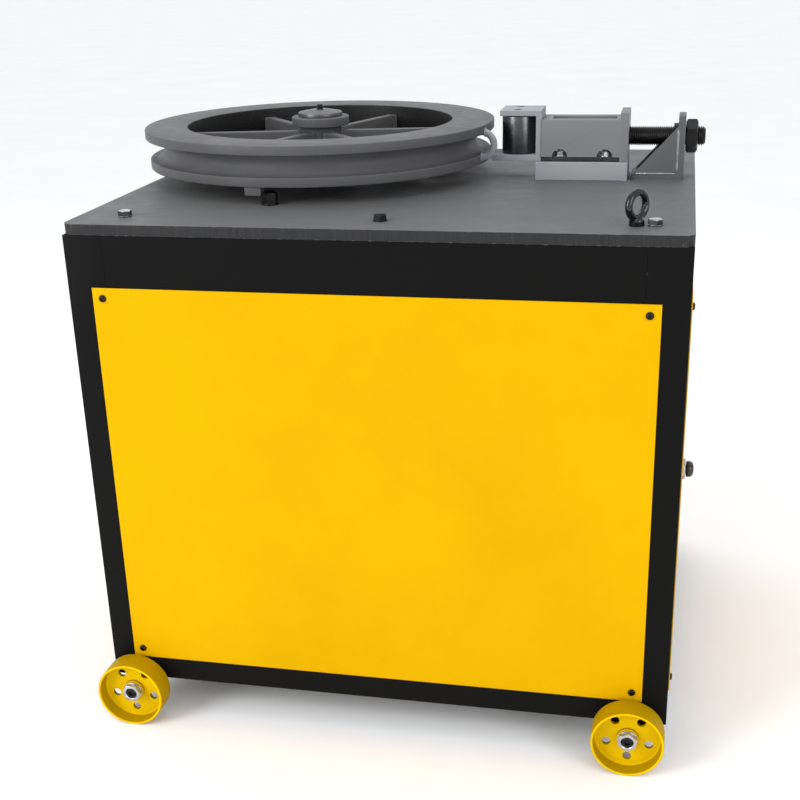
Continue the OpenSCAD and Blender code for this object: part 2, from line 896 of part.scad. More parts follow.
// Cross-section of the rim, in radius and height from the wheel's underside; "room" grows it
module rim_section(room = 0) {
    flange_t = (wheel_h - groove_d) / 2;
    lower_w = wheel_r - lower_flange_step - wheel_inner_r;
    upper_w = wheel_r - wheel_inner_r;
    difference() {
        union() {
            translate([wheel_inner_r, -room]) square([lower_w + room, wheel_h + 2 * room]);
            translate([wheel_inner_r, wheel_h - flange_t - 4]) square([upper_w + room, flange_t + 4 + room]);
        }
        translate([wheel_r - groove_throat, wheel_h / 2]) {
            circle(d = groove_d - 2 * room);
            translate([0, room - groove_d / 2]) square([2 * groove_throat, groove_d - 2 * room]);
        }
    }
}

module wheel_rim() {
    color(grey) at_wheel(wheel_z0) rotate_extrude($fn = 180) rim_section();
}

module wheel_ribs() {
    color(grey)
    at_wheel(wheel_z0)
    intersection() {
        for (k = [0 : rib_count - 1])
            rotate(rib_turn + k * 360 / rib_count)
            translate([barrel_d / 2 - 4, -rib_t / 2, web_t]) cube([wheel_r, rib_t, rib_h - web_t]);
        ring(2 * wheel_inner_r, barrel_d, wheel_h);
    }
}

module wheel_web() {
    color(black) at_wheel(wheel_z0) ring(2 * wheel_inner_r, barrel_d, web_t);
}

module wheel_hub() {
    color(grey)
    at_wheel()
    difference() {
        union() {
            translate([0, 0, wheel_z0]) cylinder(d = barrel_d, h = hub_z1 - wheel_z0);
            translate([0, 0, hub_z1 - collar_t]) cylinder(d = collar_d, h = collar_t);
        }
        translate([0, 0, wheel_z0 - over]) cylinder(d = stub_d, h = 80);
    }
}

module spindle_cap() {
    cap_t = cap_rim_t + cap_dome_t;
    color(steel)
    at_wheel(hub_z1)
    difference() {
        union() {
            cylinder(d = cap_d, h = cap_rim_t);
            translate([0, 0, cap_rim_t]) cylinder(d1 = cap_d, d2 = 2.4 * cap_bolt_d, h = cap_dome_t);
        }
        translate([0, 0, -over]) cylinder(d = cap_bolt_d, h = cap_t + 2 * over);
    }
}

module cap_bolt() {
    sunk = 26;
    proud = 7;
    color(dark_steel)
    at_wheel(hub_z1 - sunk) cylinder(d = cap_bolt_d, h = sunk + cap_rim_t + cap_dome_t + proud);
}

// Bent bar that the end of the work is hooked into
module bar_hook() {
    bend_centre = wheel_r + hook_reach - hook_bar_d / 2 - hook_bend_r;
    color(grey)
    at_wheel(wheel_z0)
    difference() {
        rotate(hook_angle)
            translate([bend_centre, 0, wheel_h / 2])
            rotate([90, 0, 0])
            rotate(-90)
            rotate_extrude(angle = 180) translate([hook_bend_r, 0]) circle(d = hook_bar_d);
        rotate_extrude($fn = 180) rim_section(0.1);
    }
}

module trip_dog() {
    drop = 12;
    color(grey)
    at_wheel(wheel_z0 - drop)
    rotate(dog_angle)
    translate([stop_r - dog_t / 2, -dog_w / 2, 0]) cube([dog_t, dog_w, drop]);
}

// ---- Counter roller unit ----

module slide_housing() {
    inner_half = housing_half_y - housing_wall;
    color(grey)
    translate([0, unit_y, 0])
    difference() {
        union() {
            box([housing_x0, -housing_half_y, carriage_z0 + foot_t],
                [housing_x1, housing_half_y, housing_z1]);
            box([housing_x0, -foot_half_y, carriage_z0], [block_x1, foot_half_y, carriage_z0 + foot_t]);
            box([housing_x1, -housing_half_y, carriage_z0], [block_x1, housing_half_y, end_flange_z1]);
        }
        box([housing_x0 + housing_wall, -inner_half, carriage_z0 + foot_t],
            [housing_x1, inner_half, housing_z1 - housing_wall]);
        box([housing_x0 + 14, -16, housing_z1 - housing_wall - over],
            [housing_x1 - 6, 16, housing_z1 + over]);
        translate([housing_x1 - over, 0, screw_z]) along_x() cylinder(d = screw_d + 2 * run_clear, h = 20);
        for (x = clamp_x, s = [-1, 1])
            translate([x, s * slot_dy, carriage_z0 - over]) cylinder(d = clamp_d + 1, h = 20);
        intersection() {
            for (x = clamp_x)
                translate([x, 0, carriage_z0 + foot_t])
                rotate([90, 0, 0]) cylinder(d = notch_w, h = 2 * housing_half_y + 2 * over, center = true);
            box([housing_x0, -housing_half_y - over, carriage_z0 + foot_t],
                [housing_x1, housing_half_y + over, housing_z1]);
        }
    }
}

module roller_yoke() {
    plate_x0 = housing_x0 - yoke_t;
    color(light_grey)
    translate([0, unit_y, 0])
    difference() {
        union() {
            box([plate_x0, -yoke_half_y, carriage_z0], [housing_x0, yoke_half_y, yoke_z1]);
            box([yoke_top_x0, -yoke_half_y, yoke_z1 - yoke_t], [housing_x0, yoke_half_y, yoke_z1]);
            box([yoke_foot_x0, -yoke_half_y, carriage_z0], [housing_x0, yoke_half_y, carriage_z0 + yoke_t]);
        }
        translate([roller_x, 0, table_z]) cylinder(d = pin_d, h = 120);
        for (s = [-1, 1])
            translate([roller_x, s * pin_screw_dy, yoke_z1 - 5]) cylinder(d = pin_screw_d, h = 6);
        for (s = [-1, 1])
            translate([roller_x, s * pin_screw_dy, yoke_z1 - yoke_t - over]) cylinder(d = 8, h = 20);
    }
}

module roller_pin() {
    color(steel)
    translate([roller_x, unit_y, carriage_z0]) cylinder(d = pin_d, h = yoke_z1 - carriage_z0);
}

// Sunk screws that keep the roller's pin from coming up
module pin_screws() {
    color(dark_steel)
    for (s = [-1, 1])
        translate([roller_x, unit_y + s * pin_screw_dy, yoke_z1])
        difference() {
            union() {
                translate([0, 0, -5]) cylinder(d = pin_screw_d, h = 4.6);
                translate([0, 0, -yoke_t]) cylinder(d = 8, h = 4);
            }
            translate([0, 0, -3.5]) cylinder(d = 7, h = 5, $fn = 6);
        }
}

module roller() {
    clear = 0.8;
    z0 = carriage_z0 + yoke_t + clear;
    z1 = yoke_z1 - yoke_t - clear;
    color(dark_steel)
    translate([roller_x, unit_y, z0]) ring(roller_d, pin_d + 2 * run_clear, z1 - z0);
}

module clamp_bolts() {
    shank = carriage_z0 + foot_t - table_z - slot_tee_z0 - 1;
    color(steel)
    for (x = clamp_x, s = [-1, 1])
        translate([x, unit_y + s * slot_dy, carriage_z0 + foot_t])
        hex_bolt(clamp_d, clamp_af, 5.5, clamp_washer_d, 1.6, shank);
}

module t_nuts() {
    side = slot_tee - 1;
    color(steel)
    for (x = clamp_x, s = [-1, 1])
        translate([x, unit_y + s * slot_dy, table_z + slot_tee_z0 + 0.5])
        difference() {
            translate([-side / 2, -side / 2, 0]) cube([side, side, slot_tee_z1 - slot_tee_z0 - 1]);
            translate([0, 0, -over]) cylinder(d = clamp_d, h = 12);
        }
}

// Adjusting screw: it turns in the bracket, and its thread runs in the housing's end flange
module adjusting_screw() {
    chamfer = 2.5;
    color(dark_steel)
    translate([0, unit_y, screw_z]) {
        translate([screw_x0, 0, 0]) along_x() cylinder(d = screw_d, h = screw_x1 - chamfer - screw_x0);
        translate([screw_x1 - chamfer, 0, 0])
            along_x() cylinder(d1 = screw_d, d2 = screw_d - 2 * chamfer, h = chamfer);
    }
}

// Collar on the screw that takes the roller's thrust against the bracket
module thrust_collar() {
    x0 = bracket_x1 - bracket_plate_t - play - thrust_collar_w;
    color(steel)
    translate([x0, unit_y, screw_z]) along_x() ring(thrust_collar_d, screw_d, thrust_collar_w);
}

// ---- Road wheels ----

module axles() {
    reach = half_d + wheel_standoff + road_wheel_w - 5;
    color(dark_steel)
    for (sx = [-1, 1])
        translate([axle_x(sx), 0, axle_z])
        rotate([90, 0, 0]) cylinder(d = axle_d, h = 2 * reach, center = true);
}

module axle_nuts() {
    color(steel)
    for (sx = [-1, 1], sy = [-1, 1])
        translate([axle_x(sx), sy * (half_d + wheel_standoff + hub_len + 0.6), axle_z])
        rotate([-sy * 90, 0, 0])
        difference() {
            union() {
                cylinder(d = 28, h = 2.5);
                translate([0, 0, 2.5]) cylinder(d = 24 / cos(30), h = 7, $fn = 6);
            }
            translate([0, 0, -over]) cylinder(d = axle_d, h = 14);
        }
}

// Dished cast wheel, its inner face on z = 0 and its outer face at z = road_wheel_w
module road_wheel() {
    rim_r = road_wheel_d / 2;
    rim_t = 4;
    web_z0 = 10;
    web_thick = 5;
    hole_count = 5;
    color(yellow)
    difference() {
        rotate_extrude() {
            translate([rim_r - rim_t, 0]) square([rim_t, road_wheel_w]);
            translate([axle_d / 2 + run_clear, web_z0]) square([rim_r - rim_t - axle_d / 2, web_thick]);
            translate([axle_d / 2 + run_clear, 0]) square([7, hub_len]);
        }
        for (k = [0 : hole_count - 1])
            rotate(k * 360 / hole_count - 90)
            translate([30, 0, web_z0 - over]) cylinder(d = 12, h = web_thick + 2 * over);
    }
}

// Road wheel at a corner: side -1 left, 1 right; turn 0 front, 180 rear
module corner_wheel(side, turn) {
    translate([axle_x(side), 0, 0])
    rotate(turn)
    translate([0, -half_d - wheel_standoff, axle_z])
    rotate([90, 0, 0]) road_wheel();
}

frame_posts();
top_rails();
bottom_rails();
table_plate();
front_panel();
rear_panel();
side_panels();
panel_screws();
table_bolts();
stop_bolt();
eye_bolt();
base_block();
rod_bracket();
rod_nut();
bearing_housing();
m12_bolts();
bearings();
gearbox_case();
gearbox_cover();
hanger_bolts();
motor_rails();
motor_housing();
fan_cover();
terminal_box();
v_belts();
axles();
axle_nuts();
control_box();
contactor();
button_collar();
cable_gland();
spindle();
worm_wheel();
wheel_hub();
wheel_ribs();
wheel_web();
wheel_rim();
bar_hook();
trip_dog();
spindle_cap();
cap_bolt();
worm_shaft();
worm_pulley();
motor_shaft();
motor_pulley();
motor_fan();
slide_housing();
roller_yoke();
clamp_bolts();
t_nuts();
roller_pin();
pin_screws();
adjusting_screw();
thrust_collar();
roller();
stop_button();
corner_wheel(-1, 0);  // road_wheel_front_left
corner_wheel(1, 0);  // road_wheel_front_right
corner_wheel(-1, 180);  // road_wheel_rear_left
corner_wheel(1, 180);  // road_wheel_rear_right
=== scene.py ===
"""Looks of the cabinet bending machine: finishes, rounded edges, threads, welds and studio light."""

import json
import math

import bmesh
import bpy
from mathutils import Matrix, Vector, noise


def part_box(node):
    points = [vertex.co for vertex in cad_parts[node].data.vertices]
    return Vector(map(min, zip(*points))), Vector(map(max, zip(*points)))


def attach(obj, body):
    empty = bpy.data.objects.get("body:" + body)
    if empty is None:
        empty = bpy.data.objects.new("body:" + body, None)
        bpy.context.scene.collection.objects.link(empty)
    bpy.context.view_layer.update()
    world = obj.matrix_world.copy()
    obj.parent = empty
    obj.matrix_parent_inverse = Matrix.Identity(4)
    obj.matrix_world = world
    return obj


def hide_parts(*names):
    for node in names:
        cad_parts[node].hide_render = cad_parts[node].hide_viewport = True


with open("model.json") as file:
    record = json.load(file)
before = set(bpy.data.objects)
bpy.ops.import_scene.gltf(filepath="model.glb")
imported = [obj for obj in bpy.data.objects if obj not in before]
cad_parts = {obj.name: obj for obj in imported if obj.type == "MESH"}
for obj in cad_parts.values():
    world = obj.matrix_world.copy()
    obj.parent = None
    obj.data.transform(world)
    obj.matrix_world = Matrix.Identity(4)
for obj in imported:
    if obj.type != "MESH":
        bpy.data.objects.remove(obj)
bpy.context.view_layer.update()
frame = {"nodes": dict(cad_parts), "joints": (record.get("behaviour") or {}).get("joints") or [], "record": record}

MM = 0.001
JOINTS = {joint["name"]: joint for joint in frame["joints"]}
SLOT_OF = {part["node"]: part["material_slot"] for part in frame["record"]["subparts"]}
BODY_OF = {node: body for body, nodes in frame["record"]["behaviour"]["bodies"].items() for node in nodes}


# ---- Shader graphs ----


class Graph:
    """Node tree of one material, with short calls for the nodes that the finishes share."""

    def __init__(self, name):
        self.material = bpy.data.materials.new(name)
        self.material.use_nodes = True
        self.tree = self.material.node_tree
        self.tree.nodes.clear()
        self.shader = self.add("ShaderNodeBsdfPrincipled")
        output = self.add("ShaderNodeOutputMaterial")
        self.join(self.shader.outputs["BSDF"], output.inputs["Surface"])
        self.place = self.add("ShaderNodeTexCoord").outputs["Object"]

    def add(self, kind, **settings):
        """New node of a kind, with its properties set."""
        node = self.tree.nodes.new(kind)
        for key, value in settings.items():
            setattr(node, key, value)
        return node

    def join(self, source, target):
        """Links an output to an input."""
        self.tree.links.new(source, target)

    def feed(self, target, value):
        """Links an output to an input, or writes a plain number there."""
        if isinstance(value, bpy.types.NodeSocket):
            self.join(value, target)
        else:
            target.default_value = value

    def noise(self, scale, detail=4.0, place=None):
        """Noise value round 0.5; scale is in features per metre."""
        node = self.add("ShaderNodeTexNoise")
        node.inputs["Scale"].default_value = scale
        node.inputs["Detail"].default_value = detail
        node.inputs["Roughness"].default_value = 0.6
        self.join(place or self.place, node.inputs["Vector"])
        return node.outputs["Fac"]

    def stretch(self, scale):
        """Object coordinates multiplied along each axis, for grain that runs one way."""
        node = self.add("ShaderNodeMapping")
        node.inputs["Scale"].default_value = scale
        self.join(self.place, node.inputs["Vector"])
        return node.outputs["Vector"]

    def spread(self, value, low, high, to_low, to_high):
        """Maps low..high to to_low..to_high, and clamps."""
        node = self.add("ShaderNodeMapRange")
        self.join(value, node.inputs["Value"])
        limits = (("From Min", low), ("From Max", high), ("To Min", to_low), ("To Max", to_high))
        for key, limit in limits:
            node.inputs[key].default_value = limit
        return node.outputs["Result"]

    def calc(self, operation, first, second):
        """Math node, such as ADD; first and second are numbers or outputs."""
        node = self.add("ShaderNodeMath", operation=operation)
        self.feed(node.inputs[0], first)
        self.feed(node.inputs[1], second)
        return node.outputs["Value"]

    def mix(self, share, first, second):
        """Colour mix; first and second are colours or outputs."""
        node = self.add("ShaderNodeMix", data_type="RGBA")
        self.join(share, node.inputs["Factor"])
        for socket, value in ((node.inputs[6], first), (node.inputs[7], second)):
            self.feed(socket, value)
        return node.outputs[2]

    def worn_edges(self, width, amount):
        """Mask of the worn spots along convex edges, about "width" wide; amount 0 to 1."""
        soft = self.add("ShaderNodeBevel", samples=4)
        soft.inputs["Radius"].default_value = width
        flat = self.add("ShaderNodeNewGeometry")
        dot = self.add("ShaderNodeVectorMath", operation="DOT_PRODUCT")
        self.join(soft.outputs["Normal"], dot.inputs[0])
        self.join(flat.outputs["True Normal"], dot.inputs[1])
        edge = self.spread(dot.outputs["Value"], 0.80, 0.97, 1.0, 0.0)
        spots = self.spread(self.noise(130.0, 6.0), 0.62 - 0.2 * amount, 0.70, 0.0, 1.0)
        return self.calc("MULTIPLY", edge, spots)

    def square_to(self, axis):
        """Mask that is 1 on faces square to an axis and 0 on faces that run along it."""
        parts = self.add("ShaderNodeSeparateXYZ")
        self.join(self.add("ShaderNodeTexCoord").outputs["Normal"], parts.inputs[0])
        return self.spread(self.calc("ABSOLUTE", parts.outputs[axis], 0.0), 0.35, 0.8, 0.0, 1.0)

    def radius(self, centre, axis="Z"):
        """Distance from a line along an axis, and the place along it."""
        move = self.add("ShaderNodeVectorMath", operation="SUBTRACT")
        self.join(self.place, move.inputs[0])
        move.inputs[1].default_value = centre
        parts = self.add("ShaderNodeSeparateXYZ")
        self.join(move.outputs["Vector"], parts.inputs[0])
        across = [parts.outputs[k] for k in "XYZ" if k != axis]
        squares = [self.calc("MULTIPLY", part, part) for part in across]
        return self.calc("SQRT", self.calc("ADD", *squares), 0.0), parts.outputs[axis]

    def bump(self, height, strength, distance):
        """Bends the surface's normals by a height output; distance is in metres."""
        node = self.add("ShaderNodeBump")
        node.inputs["Strength"].default_value = strength
        node.inputs["Distance"].default_value = distance
        self.join(height, node.inputs["Height"])
        self.join(node.outputs["Normal"], self.shader.inputs["Normal"])

    def set(self, **sockets):
        """Writes constants on the shader; an underscore in a name stands for a space."""
        for key, value in sockets.items():
            self.shader.inputs[key.replace("_", " ")].default_value = value


def shade(colour, factor):
    """Colour multiplied by a factor, with full alpha."""
    return tuple(channel * factor for channel in colour) + (1.0,)


BARE_STEEL = (0.16, 0.155, 0.15, 1.0)
RUBBED_PLATE = (0.2, 0.2, 0.2, 1.0)
DUST = (0.06, 0.058, 0.055, 1.0)


def enamel(name, colour, rough, shine, peel=0.12, wear=0.4, face=None, axis="Z"):
    """Sprayed enamel: cloudy tone, orange peel, dull patches, and edges rubbed to the metal.
    "face" is the colour of the faces square to "axis" where it differs from the rest; it is lighter, as painted
    light."""
    g = Graph(name)
    clouds = g.spread(g.noise(5.0, 5.0), 0.3, 0.7, 0.0, 1.0)
    tone = g.mix(clouds, shade(colour, 0.94), shade(colour, 1.05))
    # Faces square to the axis get the lighter colour: painted light.
    if face:
        tone = g.mix(g.square_to(axis), tone, g.mix(clouds, shade(face, 0.9), shade(face, 1.1)))
    specks = g.spread(g.noise(900.0, 2.0), 0.66, 0.74, 0.0, 0.35)
    tone = g.mix(specks, tone, shade(colour, 0.7))
    worn = g.worn_edges(1.6 * MM, wear)
    g.join(g.mix(worn, tone, BARE_STEEL), g.shader.inputs["Base Color"])
    dull = g.spread(g.noise(16.0, 6.0), 0.3, 0.7, rough * 0.85, rough * 1.2)
    g.join(dull, g.shader.inputs["Roughness"])
    g.join(g.calc("MULTIPLY", worn, 0.7), g.shader.inputs["Metallic"])
    g.set(Specular_IOR_Level=shine)
    skin = g.calc("ADD", g.noise(260.0, 3.0), g.calc("MULTIPLY", worn, -1.5))
    g.bump(skin, peel, 0.4 * MM)
    return g.material


def cut_plate(name, top, side, rough, shine):
    """Painted steel plate whose sides keep the ribbed face of the flame cut, darkened by painted shade."""
    g = Graph(name)
    upward = g.square_to("Z")
    clouds = g.spread(g.noise(4.0, 6.0), 0.3, 0.7, 0.0, 1.0)
    flat_tone = g.mix(clouds, shade(top, 0.93), shade(top, 1.07))
    rolled = g.spread(g.noise(1.0, 5.0, g.stretch((8.0, 240.0, 240.0))), 0.35, 0.75, 0.0, 0.5)
    flat_tone = g.mix(rolled, flat_tone, shade(top, 0.9))
    drag = g.noise(1.0, 3.0, g.stretch((520.0, 520.0, 14.0)))
    shaded_side_tone = g.mix(g.spread(drag, 0.3, 0.7, 0.0, 1.0), shade(side, 0.8), shade(side, 1.2))
    # Upright faces get the much darker edge tone: painted shade over the real flame-cut marks.
    tone = g.mix(upward, shaded_side_tone, flat_tone)
    worn = g.worn_edges(1.5 * MM, 0.7)
    g.join(g.mix(worn, tone, RUBBED_PLATE), g.shader.inputs["Base Color"])
    dull = g.spread(g.noise(22.0, 6.0), 0.3, 0.7, rough * 0.8, rough * 1.25)
    g.join(dull, g.shader.inputs["Roughness"])
    g.set(Specular_IOR_Level=shine)
    still = g.calc("SUBTRACT", 1.0, upward)
    height = g.calc("ADD", g.noise(320.0, 3.0), g.calc("MULTIPLY", g.calc("MULTIPLY", drag, still), 2.0))
    g.bump(height, 0.2, 0.4 * MM)
    return g.material


def casting(name, colour, side, rough, grain, painted_shade_within=None):
    """Painted sand casting with painted shade on its sides, and near-black painted shade on faces inside a radius,
    when one is given.
    """
    g = Graph(name)
    clouds = g.spread(g.noise(9.0, 6.0), 0.3, 0.7, 0.0, 1.0)
    lit_top_tone = g.mix(clouds, shade(colour, 0.9), shade(colour, 1.1))
    shaded_side_tone = g.mix(clouds, shade(side, 0.9), shade(side, 1.1))
    # Near-black inside the radius: painted shade on the rim's inner wall.
    if painted_shade_within:
        inside = g.spread(g.radius(WHEEL_AXIS)[0], painted_shade_within, painted_shade_within + 0.4 * MM, 1.0, 0.0)
        shaded_side_tone = g.mix(inside, shaded_side_tone, shade(side, 0.06))
    # Level faces get the lit tone and upright faces the shaded tone: painted light and shade.
    tone = g.mix(g.square_to("Z"), shaded_side_tone, lit_top_tone)
    pits = g.spread(g.noise(650.0, 4.0), 0.3, 0.45, 0.6, 0.0)
    tone = g.mix(pits, tone, shade(colour, 0.55))
    worn = g.worn_edges(2.2 * MM, 0.9)
    g.join(g.mix(worn, tone, shade(colour, 2.1)), g.shader.inputs["Base Color"])
    g.join(g.spread(g.noise(40.0, 5.0), 0.3, 0.7, rough * 0.85, rough * 1.15), g.shader.inputs["Roughness"])
    g.set(Specular_IOR_Level=0.2)
    g.bump(g.calc("ADD", g.noise(420.0, 5.0), g.noise(90.0, 2.0)), grain, 0.6 * MM)
    return g.material


def metal(name, colour, rough, stain=0.8, lines=None, strength=0.12, side=None):
    """Bare or plated steel; "lines" is the vector that its tool marks vary along, and "side" the
    tone of upright faces against the level ones, as painted shade."""
    g = Graph(name)
    marks = g.noise(1.0 if lines else 240.0, 5.0, lines(g) if lines else None)
    patches = g.spread(g.noise(60.0, 6.0), 0.35, 0.7, 0.0, 1.0)
    tone = g.mix(patches, shade(colour, 1.0), shade(colour, stain))
    tone = g.mix(g.spread(marks, 0.3, 0.7, 0.0, 0.5), tone, shade(colour, 0.7))
    # Upright faces darker than level ones: painted shade.
    if side:
        shaded_side_tone = g.mix(patches, shade(colour, side), shade(colour, 0.5 * side))
        tone = g.mix(g.square_to("Z"), shaded_side_tone, tone)
    g.join(tone, g.shader.inputs["Base Color"])
    g.join(g.spread(marks, 0.25, 0.75, rough * 0.75, rough * 1.3), g.shader.inputs["Roughness"])
    g.set(Metallic=1.0)
    g.bump(marks, strength, 0.15 * MM)
    return g.material


def moulded(name, colour, rough, grain, scale):
    """Moulded rubber or plastic with a fine grain and a little dust in it."""
    g = Graph(name)
    dust = g.spread(g.noise(120.0, 6.0), 0.45, 0.8, 0.0, 0.4)
    g.join(g.mix(dust, shade(colour, 1.0), DUST), g.shader.inputs["Base Color"])
    g.join(g.spread(g.noise(70.0, 5.0), 0.3, 0.7, rough * 0.8, rough * 1.3), g.shader.inputs["Roughness"])
    g.bump(g.noise(scale, 3.0), grain, 0.3 * MM)
    return g.material


def turned_lines(centre, axis):
    """Vector that changes only with the radius and the height on a shaft, so marks run round it."""

    marks_per_metre = 1400.0

    def vector(g):
        out = g.add("ShaderNodeCombineXYZ")
        for k, part in enumerate(g.radius(centre, axis)):
            g.join(g.calc("MULTIPLY", part, marks_per_metre), out.inputs[k])
        return out.outputs[0]

    return vector


def brushed_lines(scale):
    """Vector for marks that run one way, stretched by the scale along each axis."""
    return lambda g: g.stretch(scale)


WHEEL_AXIS = Vector(JOINTS["wheel_turn"]["pos_m"])
ROLLER_AXIS = Vector(JOINTS["roller_spin"]["pos_m"])
# Lit top and shaded side of the wheel's one grey paint: painted light and painted shade.
WHEEL_LIT_TOP = (0.104, 0.104, 0.106)
WHEEL_SHADED_SIDE = (0.080, 0.080, 0.082)
RIM_INNER = 199 * MM

FINISH = {
    "black_paint": enamel("black enamel", (0.0056, 0.0056, 0.0054), 0.42, 0.04, wear=0.15),
    "yellow_paint": enamel("yellow enamel", (0.60, 0.335, 0.0006), 0.42, 0.02, peel=0.07, wear=0.2),
    "grey_paint": enamel("grey enamel", (0.091, 0.092, 0.094), 0.45, 0.15),
    # Level faces get a lighter, bluish grey: painted light and a painted sky reflection.
    "light_grey_paint": enamel(
        "light grey enamel", (0.272, 0.275, 0.287), 0.75, 0.05, wear=0.6, face=(0.36, 0.385, 0.42)
    ),
    # Near-black enamel. On the wheel's web its black stands for the shade inside the wheel: painted shade.
    "dark_paint": enamel("near-black shade paint", (0.012, 0.012, 0.012), 0.7, 0.05, peel=0.3, wear=0.1),
    "wheel_paint": casting("grey painted casting", WHEEL_LIT_TOP, WHEEL_SHADED_SIDE, 0.5, 0.08),
    "motor_paint": enamel("blue-grey enamel", (0.05, 0.08, 0.115), 0.45, 0.3),
    "zinc_steel": metal("zinc plate", (0.55, 0.56, 0.58), 0.33, 0.7),
    "ground_steel": metal(
        "ground steel", (0.42, 0.425, 0.43), 0.3, 0.75, brushed_lines((20.0, 900.0, 900.0)), 0.1
    ),
    "black_steel": metal("black oxide", (0.032, 0.031, 0.032), 0.34, 0.6),
    "bronze": metal("cast bronze", (0.50, 0.30, 0.11), 0.4, 0.6),
    "belt_rubber": moulded("belt rubber", (0.012, 0.012, 0.012), 0.75, 0.3, 900.0),
    "black_plastic": moulded("black plastic", (0.008, 0.008, 0.008), 0.16, 0.03, 1200.0),
}
# The plate's edges get a far darker tone than its top: painted shade.
TABLE_STEEL = cut_plate("table plate", (0.133, 0.134, 0.135), (0.023, 0.023, 0.024), 0.5, 0.12)
# The faces square to the axle get a lighter yellow than the rim and boss: painted light.
ROAD_WHEEL_YELLOW_LIT_FACES = enamel(
    "road wheel enamel", (0.40, 0.245, 0.0006), 0.42, 0.02, face=(0.70, 0.45, 0.0012), axis="Y"
)
HOUSING_GREY = enamel("housing enamel", (0.178, 0.179, 0.185), 0.45, 0.2, wear=0.6)
# The rim's inner wall gets near-black painted shade.
RIM_PAINT_SHADED_INSIDE = casting("rim casting", WHEEL_LIT_TOP, WHEEL_SHADED_SIDE, 0.5, 0.08, painted_shade_within=RIM_INNER + 0.5 * MM)
CAP_STEEL = metal(
    "turned spindle steel", (0.17, 0.17, 0.173), 0.42, 0.8, turned_lines(WHEEL_AXIS, "Z"), 0.25
)
ZINC_SHADED_SIDES = metal("zinc plate with painted shade on its sides", (0.60, 0.61, 0.63), 0.33, 0.8, side=0.22)
DARK_CHROME = metal("dark chrome", (0.065, 0.065, 0.068), 0.09, 0.5)
ROLLER_STEEL = metal(
    "hardened roller steel", (0.12, 0.12, 0.125), 0.27, 0.6, turned_lines(ROLLER_AXIS, "Z"), 0.2
)
WELD_STEEL = metal("weld bead", (0.40, 0.40, 0.41), 0.38, 0.5)


def dress_cad():
    """Gives every CAD node the finish of its material slot, and paints the hook light grey."""
    for node, slot in SLOT_OF.items():
        for place in frame["nodes"][node].material_slots:
            place.material = FINISH["light_grey_paint" if node == "bar_hook" else slot]


# ---- Mesh building ----


def solids(node):
    """(lowest, highest corner) of each separate solid in a CAD node, sorted by place."""
    bm = bmesh.new()
    bm.from_mesh(frame["nodes"][node].data)
    bmesh.ops.remove_doubles(bm, verts=bm.verts, dist=0.001 * MM)
    left, boxes = set(bm.verts), []
    while left:
        todo, low, high = [left.pop()], Vector((9, 9, 9)), Vector((-9, -9, -9))
        while todo:
            vert = todo.pop()
            low = Vector(map(min, low, vert.co))
            high = Vector(map(max, high, vert.co))
            near = {edge.other_vert(vert) for edge in vert.link_edges} & left
            left -= near
            todo += near
        boxes.append((low, high))
    bm.free()
    return sorted(boxes, key=lambda box: tuple(round(v, 4) for v in box[0]))


def middle(box):
    """Centre of a (lowest, highest corner) box."""
    return (box[0] + box[1]) / 2


def add_piece(name, bm, node, material=None, stands_for=True, smooth=32.0):
    """Makes a mesh object that rides on a CAD node's body, in that node's finish, and may replace it."""
    bmesh.ops.recalc_face_normals(bm, faces=bm.faces)
    mesh = bpy.data.meshes.new(name)
    bm.to_mesh(mesh)
    bm.free()
    mesh.shade_smooth()
    mesh.set_sharp_from_angle(angle=math.radians(smooth))
    mesh.materials.append(material or FINISH[SLOT_OF[node]])
    piece = bpy.data.objects.new(name, mesh)
    bpy.context.scene.collection.objects.link(piece)
    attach(piece, BODY_OF[node])
    if stands_for:
        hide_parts(node)


def facing(place, direction):
    """Matrix that puts local Z along a direction, at a place."""
    turn = Vector(direction).to_track_quat("Z", "Y").to_matrix().to_4x4()
    return Matrix.Translation(place) @ turn


def loft(bm, rings, closed=False, place=Matrix()):
    """Skins a row of rings of points; a ring of one point is a tip, and "closed" joins last to first."""
    rows = [[bm.verts.new(place @ Vector(point)) for point in ring] for ring in rings]
    steps = max(len(row) for row in rows)
    pairs = list(zip(rows, rows[1:]))
    if closed:
        pairs.append((rows[-1], rows[0]))
    for low, high in pairs:
        for k in range(steps):
            n = (k + 1) % steps
            corners = [low[k % len(low)], low[n % len(low)], high[n % len(high)], high[k % len(high)]]
            bm.faces.new(list(dict.fromkeys(corners)))
    return bm


def mean(points):
    """Average of a list of points."""
    return tuple(sum(values) / len(points) for values in zip(*points))


def capped(bm, rings, place=Matrix()):
    """Skins a row of rings and closes both ends with a fan round the ring's middle."""
    return loft(bm, [[mean(rings[0])]] + rings + [[mean(rings[-1])]], False, place)


def circle(radius, z, steps=96):
    """Ring of points round Z; radius 0 gives the one point of a tip."""
    if radius == 0:
        return [(0.0, 0.0, z)]
    angles = (2 * math.pi * k / steps for k in range(steps))
    return [(radius * math.cos(a), radius * math.sin(a), z) for a in angles]


def hexagon(across_flats, z, steps=96):
    """Ring of points along a hexagon."""
    points = []
    for k in range(steps):
        a = 2 * math.pi * k / steps
        r = across_flats / 2 / math.cos((a % (math.pi / 3)) - math.pi / 6)
        points.append((r * math.cos(a), r * math.sin(a), z))
    return points


def chamfered_hexagon(across_flats, z, face_r, rise):
    """Ring along a hexagon whose corners drop away from z as the cone of a chamfer cuts them."""
    slope = math.tan(math.radians(30))
    ring = []
    for x, y, _ in hexagon(across_flats, z):
        drop = max(0.0, math.hypot(x, y) - face_r) * slope
        ring.append((x, y, z - rise * drop))
    return ring


